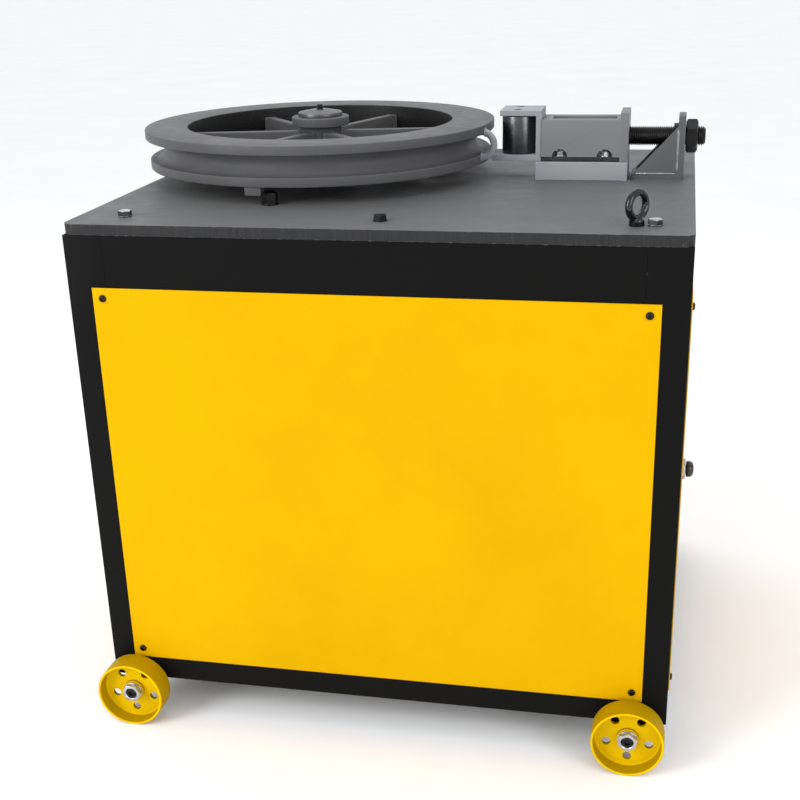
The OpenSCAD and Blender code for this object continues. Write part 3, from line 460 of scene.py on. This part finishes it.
def rounded(points, steps=4):
    """Points of a closed outline with its corners rounded; each is (a, b) or (a, b, radius)."""
    out = []
    for k, point in enumerate(points):
        here = Vector(point[:2])
        radius = point[2] if len(point) == 3 else 0.0
        if radius == 0.0:
            out.append(tuple(here))
            continue
        back = (Vector(points[k - 1][:2]) - here).normalized()
        ahead = (Vector(points[(k + 1) % len(points)][:2]) - here).normalized()
        half = back.angle(ahead) / 2
        centre = here + (back + ahead).normalized() * (radius / math.sin(half))
        start = here + back * (radius / math.tan(half)) - centre
        end = here + ahead * (radius / math.tan(half)) - centre
        for s in range(steps + 1):
            arm = start.normalized().slerp(end.normalized(), s / steps)
            out.append(tuple(centre + arm.normalized() * radius))
    return out


def lathe(bm, section, steps=96, place=Matrix()):
    """Ring turned round Z from a closed section of (radius, height) points."""
    return loft(bm, [circle(r, z, steps) for r, z in section], True, place)


def turned_bar(bm, section, steps=96, place=Matrix()):
    """Solid turned round Z; the section runs from the axis to the axis."""
    return loft(bm, [circle(r, z, steps) for r, z in section], False, place)


# Radius of the flat face inside a hexagon's chamfer, as a share of the width across its flats.
CHAMFER_SHARE = 0.475


def hex_head(bm, across_flats, height, place, recess=0.0):
    """Bolt head with a chamfered top, standing on z = 0."""
    face_r = across_flats * CHAMFER_SHARE
    rings = [
        [(0.0, 0.0, 0.0)],
        hexagon(across_flats, 0.0),
        chamfered_hexagon(across_flats, height, face_r, 1),
        circle(face_r, height),
        circle(face_r * 0.8, height - recess),
        [(0.0, 0.0, height - recess)],
    ]
    return loft(bm, rings, False, place)


def hex_nut(bm, across_flats, height, bore_r, place):
    """Nut chamfered on both faces and at both ends of its bore, standing on z = 0."""
    face_r = across_flats * CHAMFER_SHARE
    lead = min(1.0 * MM, bore_r * 0.12)
    rings = [
        circle(bore_r + lead, 0.0),
        circle(face_r, 0.0),
        chamfered_hexagon(across_flats, 0.0, face_r, -1),
        chamfered_hexagon(across_flats, height, face_r, 1),
        circle(face_r, height),
        circle(bore_r + lead, height),
        circle(bore_r, height - lead),
        circle(bore_r, lead),
    ]
    return loft(bm, rings, True, place)


def washer(bm, outer_r, inner_r, thickness, place):
    """Flat washer standing on z = 0, with its visible edges rounded."""
    soft = thickness * 0.3
    section = rounded([
        (inner_r, 0.0), (outer_r, 0.0, soft), (outer_r, thickness, soft), (inner_r, thickness, soft),
    ])
    return lathe(bm, section, 64, place)


def threaded_rod(bm, radius, pitch, z0, z1, place, chamfer=(0.0, 0.0), steps=48):
    """Rod with one helical thread from z0 to z1; chamfer gives the depth cut off at each end."""
    depth = 0.58 * pitch
    # How deep the thread is cut, in even steps along one pitch: crest, flank, root, flank, crest.
    shape = (0.0, 0.08, 0.92, 1.0, 1.0, 0.92, 0.08, 0.0)
    per_turn = len(shape)
    rows = int((z1 - z0) / pitch + 3) * per_turn
    verts = {}
    for i in range(rows + 1):
        for j in range(steps):
            z = z0 + (i / per_turn + j / steps - 1.0) * pitch
            held = min(max(z, z0), z1)
            r = radius - depth * shape[i % per_turn]
            r = min(r, radius - chamfer[0] + (held - z0), radius - chamfer[1] + (z1 - held))
            if held != z:
                r = radius - (chamfer[0] if z < z0 else chamfer[1]) - 0.2 * depth
            a = 2 * math.pi * j / steps
            verts[i, j] = bm.verts.new(place @ Vector((r * math.cos(a), r * math.sin(a), held)))
    for i in range(rows - per_turn):
        for j in range(steps):
            ahead, n = (i, j + 1) if j + 1 < steps else (i + per_turn, 0)
            bm.faces.new((verts[i, j], verts[ahead, n], verts[ahead + 1, n], verts[i + 1, j]))
    loose = [v for v in bm.verts if not v.link_faces]
    bmesh.ops.delete(bm, geom=loose, context="VERTS")
    kept = [vert for vert in verts.values() if vert.is_valid]
    bmesh.ops.remove_doubles(bm, verts=kept, dist=0.004 * MM)
    bmesh.ops.dissolve_degenerate(bm, edges=bm.edges, dist=0.002 * MM)
    open_edges = [e for e in bm.edges if len(e.link_faces) == 1]
    bmesh.ops.holes_fill(bm, edges=open_edges, sides=0)
    return bm


def weld_bead(bm, start, end, radius, seed):
    """Rippled bead along a straight line."""
    start, end = Vector(start), Vector(end)
    along = end - start
    ripple = 2.4 * MM
    count = max(6, int(along.length / ripple * 4))
    turn = facing((0, 0, 0), along)
    rings = [[tuple(start)]]
    for k in range(count + 1):
        t = k / count
        wave = 0.86 + 0.14 * abs(math.sin(math.pi * t * along.length / ripple))
        wander = 1.0 + 0.16 * noise.noise(Vector((t * along.length * 160.0, seed, 0.0)))
        r = radius * wave * wander * min(1.0, 0.35 + 6.0 * min(t, 1.0 - t))
        centre = start + along * t
        rings.append([tuple(centre + turn @ Vector(p)) for p in circle(r, 0.0, 10)])
    rings.append([tuple(end)])
    return loft(bm, rings)


def bevelled(node, width, material=None):
    """Copy of a CAD node with its longer sharp edges rounded, which replaces the node."""
    shortest = 6.0 * MM
    bm = bmesh.new()
    bm.from_mesh(frame["nodes"][node].data)
    bmesh.ops.remove_doubles(bm, verts=bm.verts, dist=0.005 * MM)
    bmesh.ops.dissolve_limit(bm, angle_limit=math.radians(0.5), verts=bm.verts, edges=bm.edges)
    sharp = [
        edge
        for edge in bm.edges
        if len(edge.link_faces) == 2
        and edge.calc_face_angle(0.0) > math.radians(50)
        and edge.calc_length() > shortest
    ]
    bmesh.ops.bevel(
        bm, geom=sharp, offset=width, segments=3, profile=0.5, affect="EDGES", clamp_overlap=True
    )
    add_piece(node + "_rounded", bm, node, material)


# ---- Bending wheel ----

FLANGE_STEP = 5 * MM
GROOVE_R = 15 * MM
GROOVE_THROAT = 11 * MM
RIB_COUNT = 6
RIB_TURN = 10
COLLAR_T = 13 * MM
CAP_RIM_T = 6 * MM


def on_wheel(z):
    """Place on the wheel's axis at a height."""
    return Matrix.Translation((WHEEL_AXIS.x, WHEEL_AXIS.y, z))


def make_rim():
    """Rim turned from one section: two flanges, the lower one smaller, and a round groove between."""
    low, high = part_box("wheel_rim")
    outer, height = (high.x - low.x) / 2, high.z - low.z
    lower = outer - FLANGE_STEP
    centre_r = outer - GROOVE_THROAT
    soft, lip = 1.6 * MM, 1.2 * MM
    section = [(RIM_INNER, 0, soft), (lower, 0, soft), (lower, height / 2 - GROOVE_R, lip)]
    groove_steps = 22
    for k in range(groove_steps + 1):
        a = math.pi * (1.5 - k / groove_steps)
        section.append((centre_r + GROOVE_R * math.cos(a), height / 2 + GROOVE_R * math.sin(a)))
    section.append((outer, height / 2 + GROOVE_R, lip))
    section += [(outer, height, soft), (RIM_INNER, height, soft)]
    bm = lathe(bmesh.new(), rounded(section, 3), 240, on_wheel(low.z))
    add_piece("rim_casting", bm, "wheel_rim", RIM_PAINT_SHADED_INSIDE)


def make_ribs():
    """Six cast ribs that widen into the hub and the rim, with drafted sides and round tops."""
    low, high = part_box("wheel_ribs")
    height, hub_r = high.z - low.z, 30.6 * MM
    half, draft, crown = 6.6 * MM, 0.5 * MM, 2.2 * MM
    bm = bmesh.new()
    for k in range(RIB_COUNT):
        turn = Matrix.Rotation(math.radians(RIB_TURN) + 2 * math.pi * k / RIB_COUNT, 4, "Z")
        place = on_wheel(low.z) @ turn
        rings = []
        for share in (0.0, 0.02, 0.05, 0.1, 0.5, 0.9, 0.95, 0.98, 1.0):
            flare = 4.5 * MM * max(0.0, 1.0 - min(share, 1.0 - share) / 0.1) ** 2
            top = half - draft + flare
            section = rounded([
                (-half - flare, 0.0), (half + flare, 0.0), (top, height, crown), (-top, height, crown),
            ])
            r = hub_r + share * (RIM_INNER + 0.4 * MM - hub_r)
            rings.append([(r, y, z) for y, z in section])
        capped(bm, rings, place)
    add_piece("rib_castings", bm, "wheel_ribs")


def make_hub():
    """Hub with its collar, the raised cap on the spindle, and the threaded stud through it."""
    low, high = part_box("wheel_hub")
    bore, barrel, collar = 22.5 * MM, 31 * MM, (high.x - low.x) / 2
    height = high.z - low.z
    step = height - COLLAR_T
    section = rounded([
        (bore, 0.0), (barrel, 0.0, 1 * MM), (barrel, step, 2 * MM), (collar, step, 1.5 * MM),
        (collar, height, 2 * MM), (bore, height, 1 * MM),
    ])
    add_piece("hub_casting", lathe(bmesh.new(), section, 120, on_wheel(low.z)), "wheel_hub")

    low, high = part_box("spindle_cap")
    cap, height, hole = (high.x - low.x) / 2, high.z - low.z, 5.2 * MM
    section = rounded([
        (hole, 0.0), (cap, 0.0, 0.8 * MM), (cap, CAP_RIM_T, 1.4 * MM),
        (hole + 7 * MM, height, 0.8 * MM), (hole, height, 0.4 * MM),
    ])
    add_piece("cap_disc", lathe(bmesh.new(), section, 120, on_wheel(low.z)), "spindle_cap", CAP_STEEL)

    low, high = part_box("cap_bolt")
    radius, pitch, chamfer = (high.x - low.x) / 2, 1.5 * MM, (1 * MM, 1.2 * MM)
    bm = threaded_rod(bmesh.new(), radius, pitch, low.z, high.z, on_wheel(0.0), chamfer, 32)
    add_piece("cap_stud", bm, "cap_bolt")


def make_hook_welds():
    """Small bead round each end of the bent bar, where it meets the flanges."""
    low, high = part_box("bar_hook")
    bar, bar_r, bead_r = middle((low, high)), 5 * MM, 1.3 * MM
    out = Vector((bar.x - WHEEL_AXIS.x, bar.y - WHEEL_AXIS.y, 0.0)).normalized()
    side = Vector((-out.y, out.x, 0.0))
    rim_low, rim_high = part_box("wheel_rim")
    outer = (rim_high.x - rim_low.x) / 2
    bm = bmesh.new()
    for z, radius in ((low.z + bar_r, outer - FLANGE_STEP), (high.z - bar_r, outer)):
        centre = Vector((WHEEL_AXIS.x, WHEEL_AXIS.y, z)) + out * (radius + 0.2 * MM)
        rings = []
        for x, y, _ in circle(1.0, 0.0, 24):
            arm = side * x + Vector((0, 0, 1)) * y
            point = centre + arm * (bar_r + 0.3 * MM)
            rings.append([point + (arm * u + out * v) * bead_r for u, v, _ in circle(1.0, 0.0, 8)])
        loft(bm, rings, True)
    add_piece("hook_welds", bm, "bar_hook", FINISH["light_grey_paint"], stands_for=False)


# ---- Bolts, nuts and screws ----

THIN_WASHER = 1.6 * MM


def make_table_bolts():
    """Zinc bolts at the corners, with painted shade on their upright faces, and black ones in the middle of the
    front and the back, whose black is painted shade.
    """
    bright, dark = bmesh.new(), bmesh.new()
    for low, high in solids("table_bolts"):
        at = middle((low, high))
        # The middle heads get black steel, as painted shade.
        bm = dark if abs(at.x) < 100 * MM else bright
        hex_bolt_at(bm, at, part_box("table_plate")[1].z, high.z, 16 * MM, 9 * MM, THIN_WASHER)
    add_piece("table_bolt_heads", bright, "table_bolts", ZINC_SHADED_SIDES)
    add_piece("table_bolt_shaded_heads", dark, "table_bolts", FINISH["black_steel"])


def hex_bolt_at(bm, at, seat, top, across_flats, washer_r, washer_t, spin=0.3):
    """Upright bolt head on its washer, turned to an angle of its own; only the head shows, so it has
    no shank."""
    place = Matrix.Translation((at.x, at.y, seat))
    washer(bm, washer_r, across_flats * 0.3, washer_t, place)
    turn = place @ Matrix.Rotation(spin + 40.0 * at.x, 4, "Z") @ Matrix.Translation((0, 0, washer_t))
    hex_head(bm, across_flats, top - seat - washer_t, turn, 0.5 * MM)


def make_stop_bolt():
    """Head and thick washer of the stop bolt."""
    low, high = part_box("stop_bolt")
    at, seat = middle((low, high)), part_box("table_plate")[1].z
    washer_t, across_flats = 3 * MM, 19 * MM
    bm = bmesh.new()
    place = Matrix.Translation((at.x, at.y, seat))
    washer(bm, 12 * MM, 6.5 * MM, washer_t, place)
    turn = place @ Matrix.Rotation(math.radians(30), 4, "Z") @ Matrix.Translation((0, 0, washer_t))
    hex_head(bm, across_flats, high.z - seat - washer_t, turn, 0.6 * MM)
    add_piece("stop_bolt_head", bm, "stop_bolt")


def make_clamp_bolts():
    """Heads, washers and shanks of the bolts on the housing's foot."""
    shank_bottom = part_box("clamp_bolts")[0].z
    foot_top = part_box("slide_housing")[0].z + 6 * MM
    shank_r, shank_top = 4 * MM, foot_top + 1 * MM
    bm = bmesh.new()
    section = [(0.0, shank_bottom), (shank_r, shank_bottom), (shank_r, shank_top), (0.0, shank_top)]
    for box in solids("clamp_bolts"):
        at = middle(box)
        hex_bolt_at(bm, at, foot_top, box[1].z, 13 * MM, 8.5 * MM, THIN_WASHER, 0.1)
        turned_bar(bm, section, 32, Matrix.Translation((at.x, at.y, 0.0)))
    add_piece("clamp_bolt_heads", bm, "clamp_bolts")


def make_panel_screws():
    """Button heads with a hexagon socket, facing out of each panel."""
    head, socket, socket_floor, steps = 3 * MM, 3.6 * MM, 1.2 * MM, 48
    dome_mm = [(5.0, 0.0), (4.9, 1.0), (4.4, 2.0), (3.5, 2.75), (2.6, 3.0)]
    rings = [[(0.0, 0.0, 0.0)]] + [circle(r * MM, z * MM, steps) for r, z in dome_mm]
    rings += [hexagon(socket, head, steps), hexagon(socket, socket_floor, steps), [(0.0, 0.0, socket_floor)]]
    bm = bmesh.new()
    for low, high in solids("panel_screws"):
        size, at = high - low, middle((low, high))
        axis = max(range(3), key=lambda k: size[k])
        out = Vector((0, 0, 0))
        out[axis] = math.copysign(1.0, at[axis])
        loft(bm, rings, False, facing(at + out * (size[axis] / 2 - head), out))
    add_piece("panel_screw_heads", bm, "panel_screws")


def make_axle_nuts():
    """Nuts and washers on the axles' ends, and the axles with chamfered, centre-drilled ends."""
    washer_t, axle_fit = 2.5 * MM, 8.05 * MM
    bm = bmesh.new()
    for low, high in solids("axle_nuts"):
        at = middle((low, high))
        side = math.copysign(1.0, at.y)
        inner = at - Vector((0, side * (high.y - low.y) / 2, 0))
        place = facing(inner, (0, side, 0))
        washer(bm, 14 * MM, 8.1 * MM, washer_t, place)
        turn = place @ Matrix.Rotation(3.5 * at.x + 0.2, 4, "Z") @ Matrix.Translation((0, 0, washer_t))
        hex_nut(bm, 24 * MM, 7 * MM, axle_fit, turn)
    add_piece("axle_nut_set", bm, "axle_nuts")

    bm = bmesh.new()
    for low, high in solids("axles"):
        at = middle((low, high))
        r, half = (high.z - low.z) / 2, (high.y - low.y) / 2
        drill = 2.5 * MM
        end = [(0.0, half - 4 * MM), (drill, half - 3 * MM), (drill + 1 * MM, half)]
        edge = [(r - 1.5 * MM, half), (r, half - 1.5 * MM)]
        section = end + edge + [(a, -b) for a, b in reversed(end + edge)]
        turned_bar(bm, section, 64, facing(at, (0, 1, 0)))
    add_piece("axle_bars", bm, "axles")


def make_screw_and_nut():
    """Adjusting screw, threaded over its whole length, and the large nut on it."""
    axis = Vector(JOINTS["screw_turn"]["pos_m"])
    low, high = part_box("adjusting_screw")
    radius, pitch = (high.z - low.z) / 2, 3 * MM
    place = facing((0.0, axis.y, axis.z), (1, 0, 0))
    bm = threaded_rod(bmesh.new(), radius, pitch, low.x, high.x, place, (1.5 * MM, 3.5 * MM))
    add_piece("screw_thread", bm, "adjusting_screw", smooth=50.0)

    low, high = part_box("rod_nut")
    place = facing((low.x, axis.y, axis.z), (1, 0, 0)) @ Matrix.Rotation(math.radians(30), 4, "Z")
    bm = hex_nut(bmesh.new(), 41 * MM, high.x - low.x, radius + 0.05 * MM, place)
    add_piece("rod_nut_chamfered", bm, "rod_nut")


def make_eye_bolt():
    """Forged eye: the CAD solid remeshed and smoothed, so the ring flows into its collar."""
    source = frame["nodes"]["eye_bolt"]
    work = bpy.data.objects.new("eye_work", source.data.copy())
    bpy.context.scene.collection.objects.link(work)
    remesh = work.modifiers.new("skin", "REMESH")
    remesh.mode, remesh.voxel_size = "VOXEL", 0.55 * MM
    soften = work.modifiers.new("soften", "SMOOTH")
    soften.factor, soften.iterations = 0.5, 14
    evaluated = work.evaluated_get(bpy.context.evaluated_depsgraph_get())
    bm = bmesh.new()
    bm.from_mesh(evaluated.to_mesh())
    evaluated.to_mesh_clear()
    bpy.data.objects.remove(work)
    add_piece("eye_forging", bm, "eye_bolt", DARK_CHROME, smooth=80.0)


# ---- Counter roller ----


def make_roller():
    """Plain ring with rounded outer edges."""
    low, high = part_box("roller")
    radius, bore = (high.x - low.x) / 2, 10.05 * MM
    section = rounded([
        (bore, 0.0), (radius, 0.0, 1.5 * MM), (radius, high.z - low.z, 1.5 * MM), (bore, high.z - low.z),
    ])
    place = Matrix.Translation((ROLLER_AXIS.x, ROLLER_AXIS.y, low.z))
    add_piece("roller_ring", lathe(bmesh.new(), section, 128, place), "roller", ROLLER_STEEL)


def make_foot_shade_strips():
    """Dark strips, in the belt rubber finish, in the recess along both sides of the housing's foot: painted shade
    in the recess.
    """
    low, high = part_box("slide_housing")
    foot_half_y, flange_t, inset = 27.05 * MM, 12 * MM, 0.5 * MM
    depth, bottom, top, soft = 4 * MM, 0.4 * MM, 5.2 * MM, 1 * MM
    outline = rounded([(0.0, bottom), (depth, bottom, soft), (depth, top, soft), (0.0, top)])
    bm = bmesh.new()
    for side in (-1, 1):
        face = middle((low, high)).y + side * foot_half_y
        rings = [
            [(x, face + side * out, low.z + up) for out, up in outline]
            for x in (low.x + inset, high.x - flange_t - inset)
        ]
        capped(bm, rings)
    # Black strips in the foot's recess: painted shade.
    add_piece("foot_shade_strips", bm, "slide_housing", FINISH["belt_rubber"], stands_for=False)


def make_welds():
    """Beads along the bracket's gussets, and round the feet of the bracket and the base block."""
    low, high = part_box("rod_bracket")
    plate_x, base_z = high.x - 10 * MM, low.z + 9 * MM
    gusset_x, gusset_z = low.x + 4 * MM, high.z - 16 * MM
    gusset_leg, foot_leg = 2.0 * MM, 1.8 * MM
    bm, seed = bmesh.new(), 1
    # How far in from the bracket's side faces the beads on the outside and inside of a gusset lie.
    outer, inner = 0.9 * MM, 6.2 * MM
    for y in (low.y + outer, low.y + inner, high.y - inner, high.y - outer):
        weld_bead(bm, (gusset_x, y, base_z), (plate_x, y, base_z), gusset_leg, seed)
        weld_bead(bm, (plate_x, y, base_z), (plate_x, y, gusset_z), gusset_leg, seed + 1)
        seed += 2
    add_piece("gusset_welds", bm, "rod_bracket", WELD_STEEL, stands_for=False)

    bm = bmesh.new()
    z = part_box("table_plate")[1].z
    for near, far in ((low, high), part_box("base_block")):
        outline = [(near.x, near.y), (far.x, near.y), (far.x, far.y), (near.x, far.y)]
        for k, point in enumerate(outline):
            ahead = outline[(k + 1) % 4]
            seed += 1
            weld_bead(bm, (*point, z), (*ahead, z), foot_leg, seed)
    add_piece("foot_welds", bm, "rod_bracket", FINISH["grey_paint"], stands_for=False)


# ---- Road wheels ----


def make_road_wheel(corner):
    """Dished casting with five round holes in its web, the lowest one straight under the axle."""
    node = "road_wheel_" + corner
    low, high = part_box(node)
    axis = Vector(JOINTS[corner + "_roll"]["pos_m"])
    side = math.copysign(1.0, axis.y)
    inner_y = low.y if side > 0 else high.y
    r, width, soft = (high.z - low.z) / 2, high.y - low.y, 1.4 * MM
    bore, hub, wall, draft = 8.05 * MM, 15.05 * MM, 4 * MM, 0.4 * MM
    web0, web1, hub_end = 10 * MM, 15 * MM, 20 * MM
    web_in, web_out, steps = hub + 2 * MM, r - wall - 3.6 * MM, 120
    rim = rounded([
        (web_out, web0), (r - wall, web0, 3 * MM), (r - wall + draft, 0.0, soft), (r, 0.0, soft),
        (r, width, soft), (r - wall + draft, width, soft), (r - wall, web1, 3 * MM), (web_out, web1),
    ])
    boss = rounded([
        (web_in, web1), (hub, web1, 1.5 * MM), (hub, hub_end, 1 * MM), (bore, hub_end),
        (bore, 0.0), (hub, 0.0, 1 * MM), (hub, web0, 1.5 * MM), (web_in, web0),
    ])
    bm = bmesh.new()
    for section in (rim, boss):
        loft(bm, [circle(radius, z, steps) for radius, z in section])
    holes, hole_r, hole_ring = 5, 6 * MM, 30 * MM
    for k in range(holes):
        a = 2 * math.pi * k / holes - math.pi / 2
        spot = Matrix.Translation((hole_ring * math.cos(a), hole_ring * math.sin(a), 0.0))
        loft(bm, [circle(hole_r, web0, 32), circle(hole_r, web1, 32)], False, spot)
    for z in (web0, web1):
        border = [
            edge
            for edge in bm.edges
            if len(edge.link_faces) == 1 and all(abs(v.co.z - z) < 0.01 * MM for v in edge.verts)
        ]
        bmesh.ops.triangle_fill(bm, edges=border, use_beauty=True, normal=(0, 0, 1))
    upright = Matrix.Rotation(math.radians(90.0 * side), 4, "X") @ Matrix.Diagonal((1, side, -1, 1))
    bm.transform(Matrix.Translation((axis.x, inner_y, axis.z)) @ upright)
    add_piece(node + "_cast", bm, node, ROAD_WHEEL_YELLOW_LIT_FACES)


# ---- Cabinet ----


def make_button():
    """Mushroom push button and its knurled collar."""
    low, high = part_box("stop_button")
    axis_y, axis_z = (low.y + high.y) / 2, (low.z + high.z) / 2
    r, reach = (high.y - low.y) / 2, high.x
    section = [
        (0.0, low.x), (6 * MM, low.x), (6 * MM, reach - 10.6 * MM), (r - 1 * MM, reach - 10.2 * MM),
        (r, reach - 9 * MM), (r, reach - 5.5 * MM), (r - 0.8 * MM, reach - 3.4 * MM),
        (r * 0.78, reach - 1.4 * MM), (r * 0.5, reach - 0.4 * MM), (r * 0.2, reach), (0.0, reach),
    ]
    bm = turned_bar(bmesh.new(), section, 64, facing((0.0, axis_y, axis_z), (1, 0, 0)))
    add_piece("button_mushroom", bm, "stop_button", smooth=40.0)

    low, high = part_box("button_collar")
    outer, t = (high.y - low.y) / 2, high.x - low.x
    section = rounded([
        (r + 0.5 * MM, 0.0), (outer, 0.0), (outer, t, 1.5 * MM), (r + 0.5 * MM, t, 0.8 * MM),
    ])
    rings = []
    for radius, z in section:
        knurl = 0.25 * MM if radius > outer - 0.1 * MM and z < t - 0.8 * MM else 0.0
        radii = (radius - knurl, radius, radius)
        rings.append([
            (x * radii[k % 3], y * radii[k % 3], z) for k, (x, y, z) in enumerate(circle(1.0, z))
        ])
    place = facing((low.x, axis_y, axis_z), (1, 0, 0))
    add_piece("collar_knurled", loft(bmesh.new(), rings, True, place), "button_collar")


def make_louvres():
    """Pressed hoods over the rear panel's slots, open at the bottom."""
    panel_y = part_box("rear_panel")[1].y
    rows, pitch, width, centre_x = 7, 22 * MM, 140 * MM, 150 * MM
    first_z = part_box("rear_panel")[0].z + 330 * MM
    sheet, depth, rise, thinnest = 1 * MM, 6 * MM, 11 * MM, 0.1 * MM
    # Place along the hood as a share of its width, and the hood's depth there.
    swell = ((-0.5, 0.12), (-0.495, 0.5), (-0.48, 0.85), (-0.45, 1.0))
    swell += tuple((-x, share) for x, share in reversed(swell))
    bm = bmesh.new()
    for side in (-1, 1):
        for row in range(rows):
            z0 = first_z + row * pitch - 1 * MM
            rings = []
            for x, share in swell:
                outer, inner = [], []
                for k in range(9):
                    a = math.pi / 2 * k / 8
                    y, z = math.cos(a), math.sin(a)
                    outer.append((y * (depth * share), z0 + z * rise))
                    inner.append((y * max(depth * share - sheet, thinnest), z0 + z * (rise - sheet)))
                lip = [(0.0, z0 + rise), (0.0, z0 + rise - sheet)]
                outline = outer[:-1] + lip + inner[:-1][::-1]
                rings.append([
                    (side * centre_x + x * (width + 6 * MM), panel_y + y, z) for y, z in outline
                ])
            capped(bm, rings)
    add_piece("louvre_hoods", bm, "rear_panel", stands_for=False, smooth=50.0)


def make_gland():
    """Cable gland with its hexagon against the rear panel and an empty bore."""
    low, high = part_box("cable_gland")
    centre = Vector(((low.x + high.x) / 2, 0.0, (low.z + high.z) / 2))
    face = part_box("rear_panel")[1].y
    bore, body_r = 5.05 * MM, 10 * MM
    bm = bmesh.new()
    body = rounded([
        (bore, low.y), (body_r, low.y, 0.8 * MM), (body_r, face), (body_r, face + 6.5 * MM),
        (12 * MM, face + 7 * MM, 0.8 * MM), (12 * MM, face + 13 * MM, 2 * MM),
        (8.2 * MM, high.y, 1.5 * MM), (bore, high.y, 1.2 * MM),
    ])
    place = facing(centre, (0, 1, 0))
    lathe(bm, body, 72, place)
    hex_nut(bm, 27 * MM, 7 * MM, body_r + 0.02 * MM, place @ Matrix.Translation((0, 0, face)))
    add_piece("gland_body", bm, "cable_gland")


# ---- Stage ----

CAMERA_PLACE = (0.376, -1.821, 1.049)
CAMERA_YAW, CAMERA_PITCH, CAMERA_ROLL = 12.67, 21.74, -1.6
CAMERA_LENS = 56.8
CAMERA_SHIFT = 0.0625


def make_camera():
    """Camera in front of the cabinet and a little to its right, looking down at the table."""
    data = bpy.data.cameras.new("camera")
    data.sensor_width = 36.0
    data.lens = CAMERA_LENS
    data.shift_y = CAMERA_SHIFT
    data.clip_start, data.clip_end = 0.05, 200.0
    camera = bpy.data.objects.new("camera", data)
    bpy.context.scene.collection.objects.link(camera)
    camera.matrix_world = (
        Matrix.Translation(CAMERA_PLACE)
        @ Matrix.Rotation(math.radians(CAMERA_YAW), 4, "Z")
        @ Matrix.Rotation(math.radians(90.0 - CAMERA_PITCH), 4, "X")
        @ Matrix.Rotation(math.radians(CAMERA_ROLL), 4, "Z")
    )
    bpy.context.scene.camera = camera


def add_softbox(name, place, target, size, watts):
    """Rectangular area light that faces a target."""
    data = bpy.data.lights.new(name, "AREA")
    data.shape, data.size, data.size_y = "RECTANGLE", size[0], size[1]
    data.energy = watts
    light = bpy.data.objects.new(name, data)
    light.location = place
    light.rotation_euler = (Vector(target) - Vector(place)).to_track_quat("-Z", "Y").to_euler()
    bpy.context.scene.collection.objects.link(light)


def make_lights():
    """Soft studio light from above and from both sides of the front, in a pale world."""
    add_softbox("overhead", (-0.5, 0.9, 3.0), (0.0, 0.0, 0.7), (2.2, 2.2), 12.0)
    add_softbox("front_left", (-2.2, -2.6, 1.7), (0.0, 0.0, 0.5), (1.4, 2.2), 70.0)
    add_softbox("front_right", (2.4, -2.2, 1.5), (0.0, 0.0, 0.5), (1.2, 2.0), 30.0)
    world = bpy.data.worlds.new("studio")
    world.use_nodes = True
    sky = world.node_tree.nodes["Background"]
    sky.inputs["Color"].default_value = (0.97, 0.98, 1.0, 1.0)
    sky.inputs["Strength"].default_value = 1.0
    bpy.context.scene.world = world
    bpy.context.scene.view_settings.view_transform = "Standard"


def make_floor():
    """Wide pale floor with faint scuffs."""
    bm = bmesh.new()
    bmesh.ops.create_grid(bm, x_segments=8, y_segments=8, size=45.0)
    mesh = bpy.data.meshes.new("floor")
    bm.to_mesh(mesh)
    bm.free()
    g = Graph("floor paint")
    scuffs = g.spread(g.noise(2.0, 4.0), 0.3, 0.7, 0.0, 1.0)
    tone = g.mix(scuffs, (0.93, 0.93, 0.93, 1.0), (0.97, 0.97, 0.97, 1.0))
    g.join(tone, g.shader.inputs["Base Color"])
    g.set(Roughness=0.8, Specular_IOR_Level=0.1)
    mesh.materials.append(g.material)
    floor = bpy.data.objects.new("floor", mesh)
    bpy.context.scene.collection.objects.link(floor)


# ---- Build ----

dress_cad()
make_camera()
make_lights()
make_floor()
bevelled("table_plate", 1.0 * MM, TABLE_STEEL)
bevelled("frame_posts", 1.2 * MM)
for panel in ("front_panel", "rear_panel", "side_panels"):
    bevelled(panel, 0.6 * MM)
for block in ("base_block", "rod_bracket", "roller_yoke", "trip_dog"):
    bevelled(block, 0.7 * MM)
bevelled("slide_housing", 0.7 * MM, HOUSING_GREY)
make_rim()
make_ribs()
make_hub()
make_hook_welds()
make_table_bolts()
make_stop_bolt()
make_clamp_bolts()
make_panel_screws()
make_axle_nuts()
make_screw_and_nut()
make_eye_bolt()
make_roller()
make_foot_shade_strips()
make_welds()
for corner in ("front_left", "front_right", "rear_left", "rear_right"):
    make_road_wheel(corner)
make_button()
make_louvres()
make_gland()
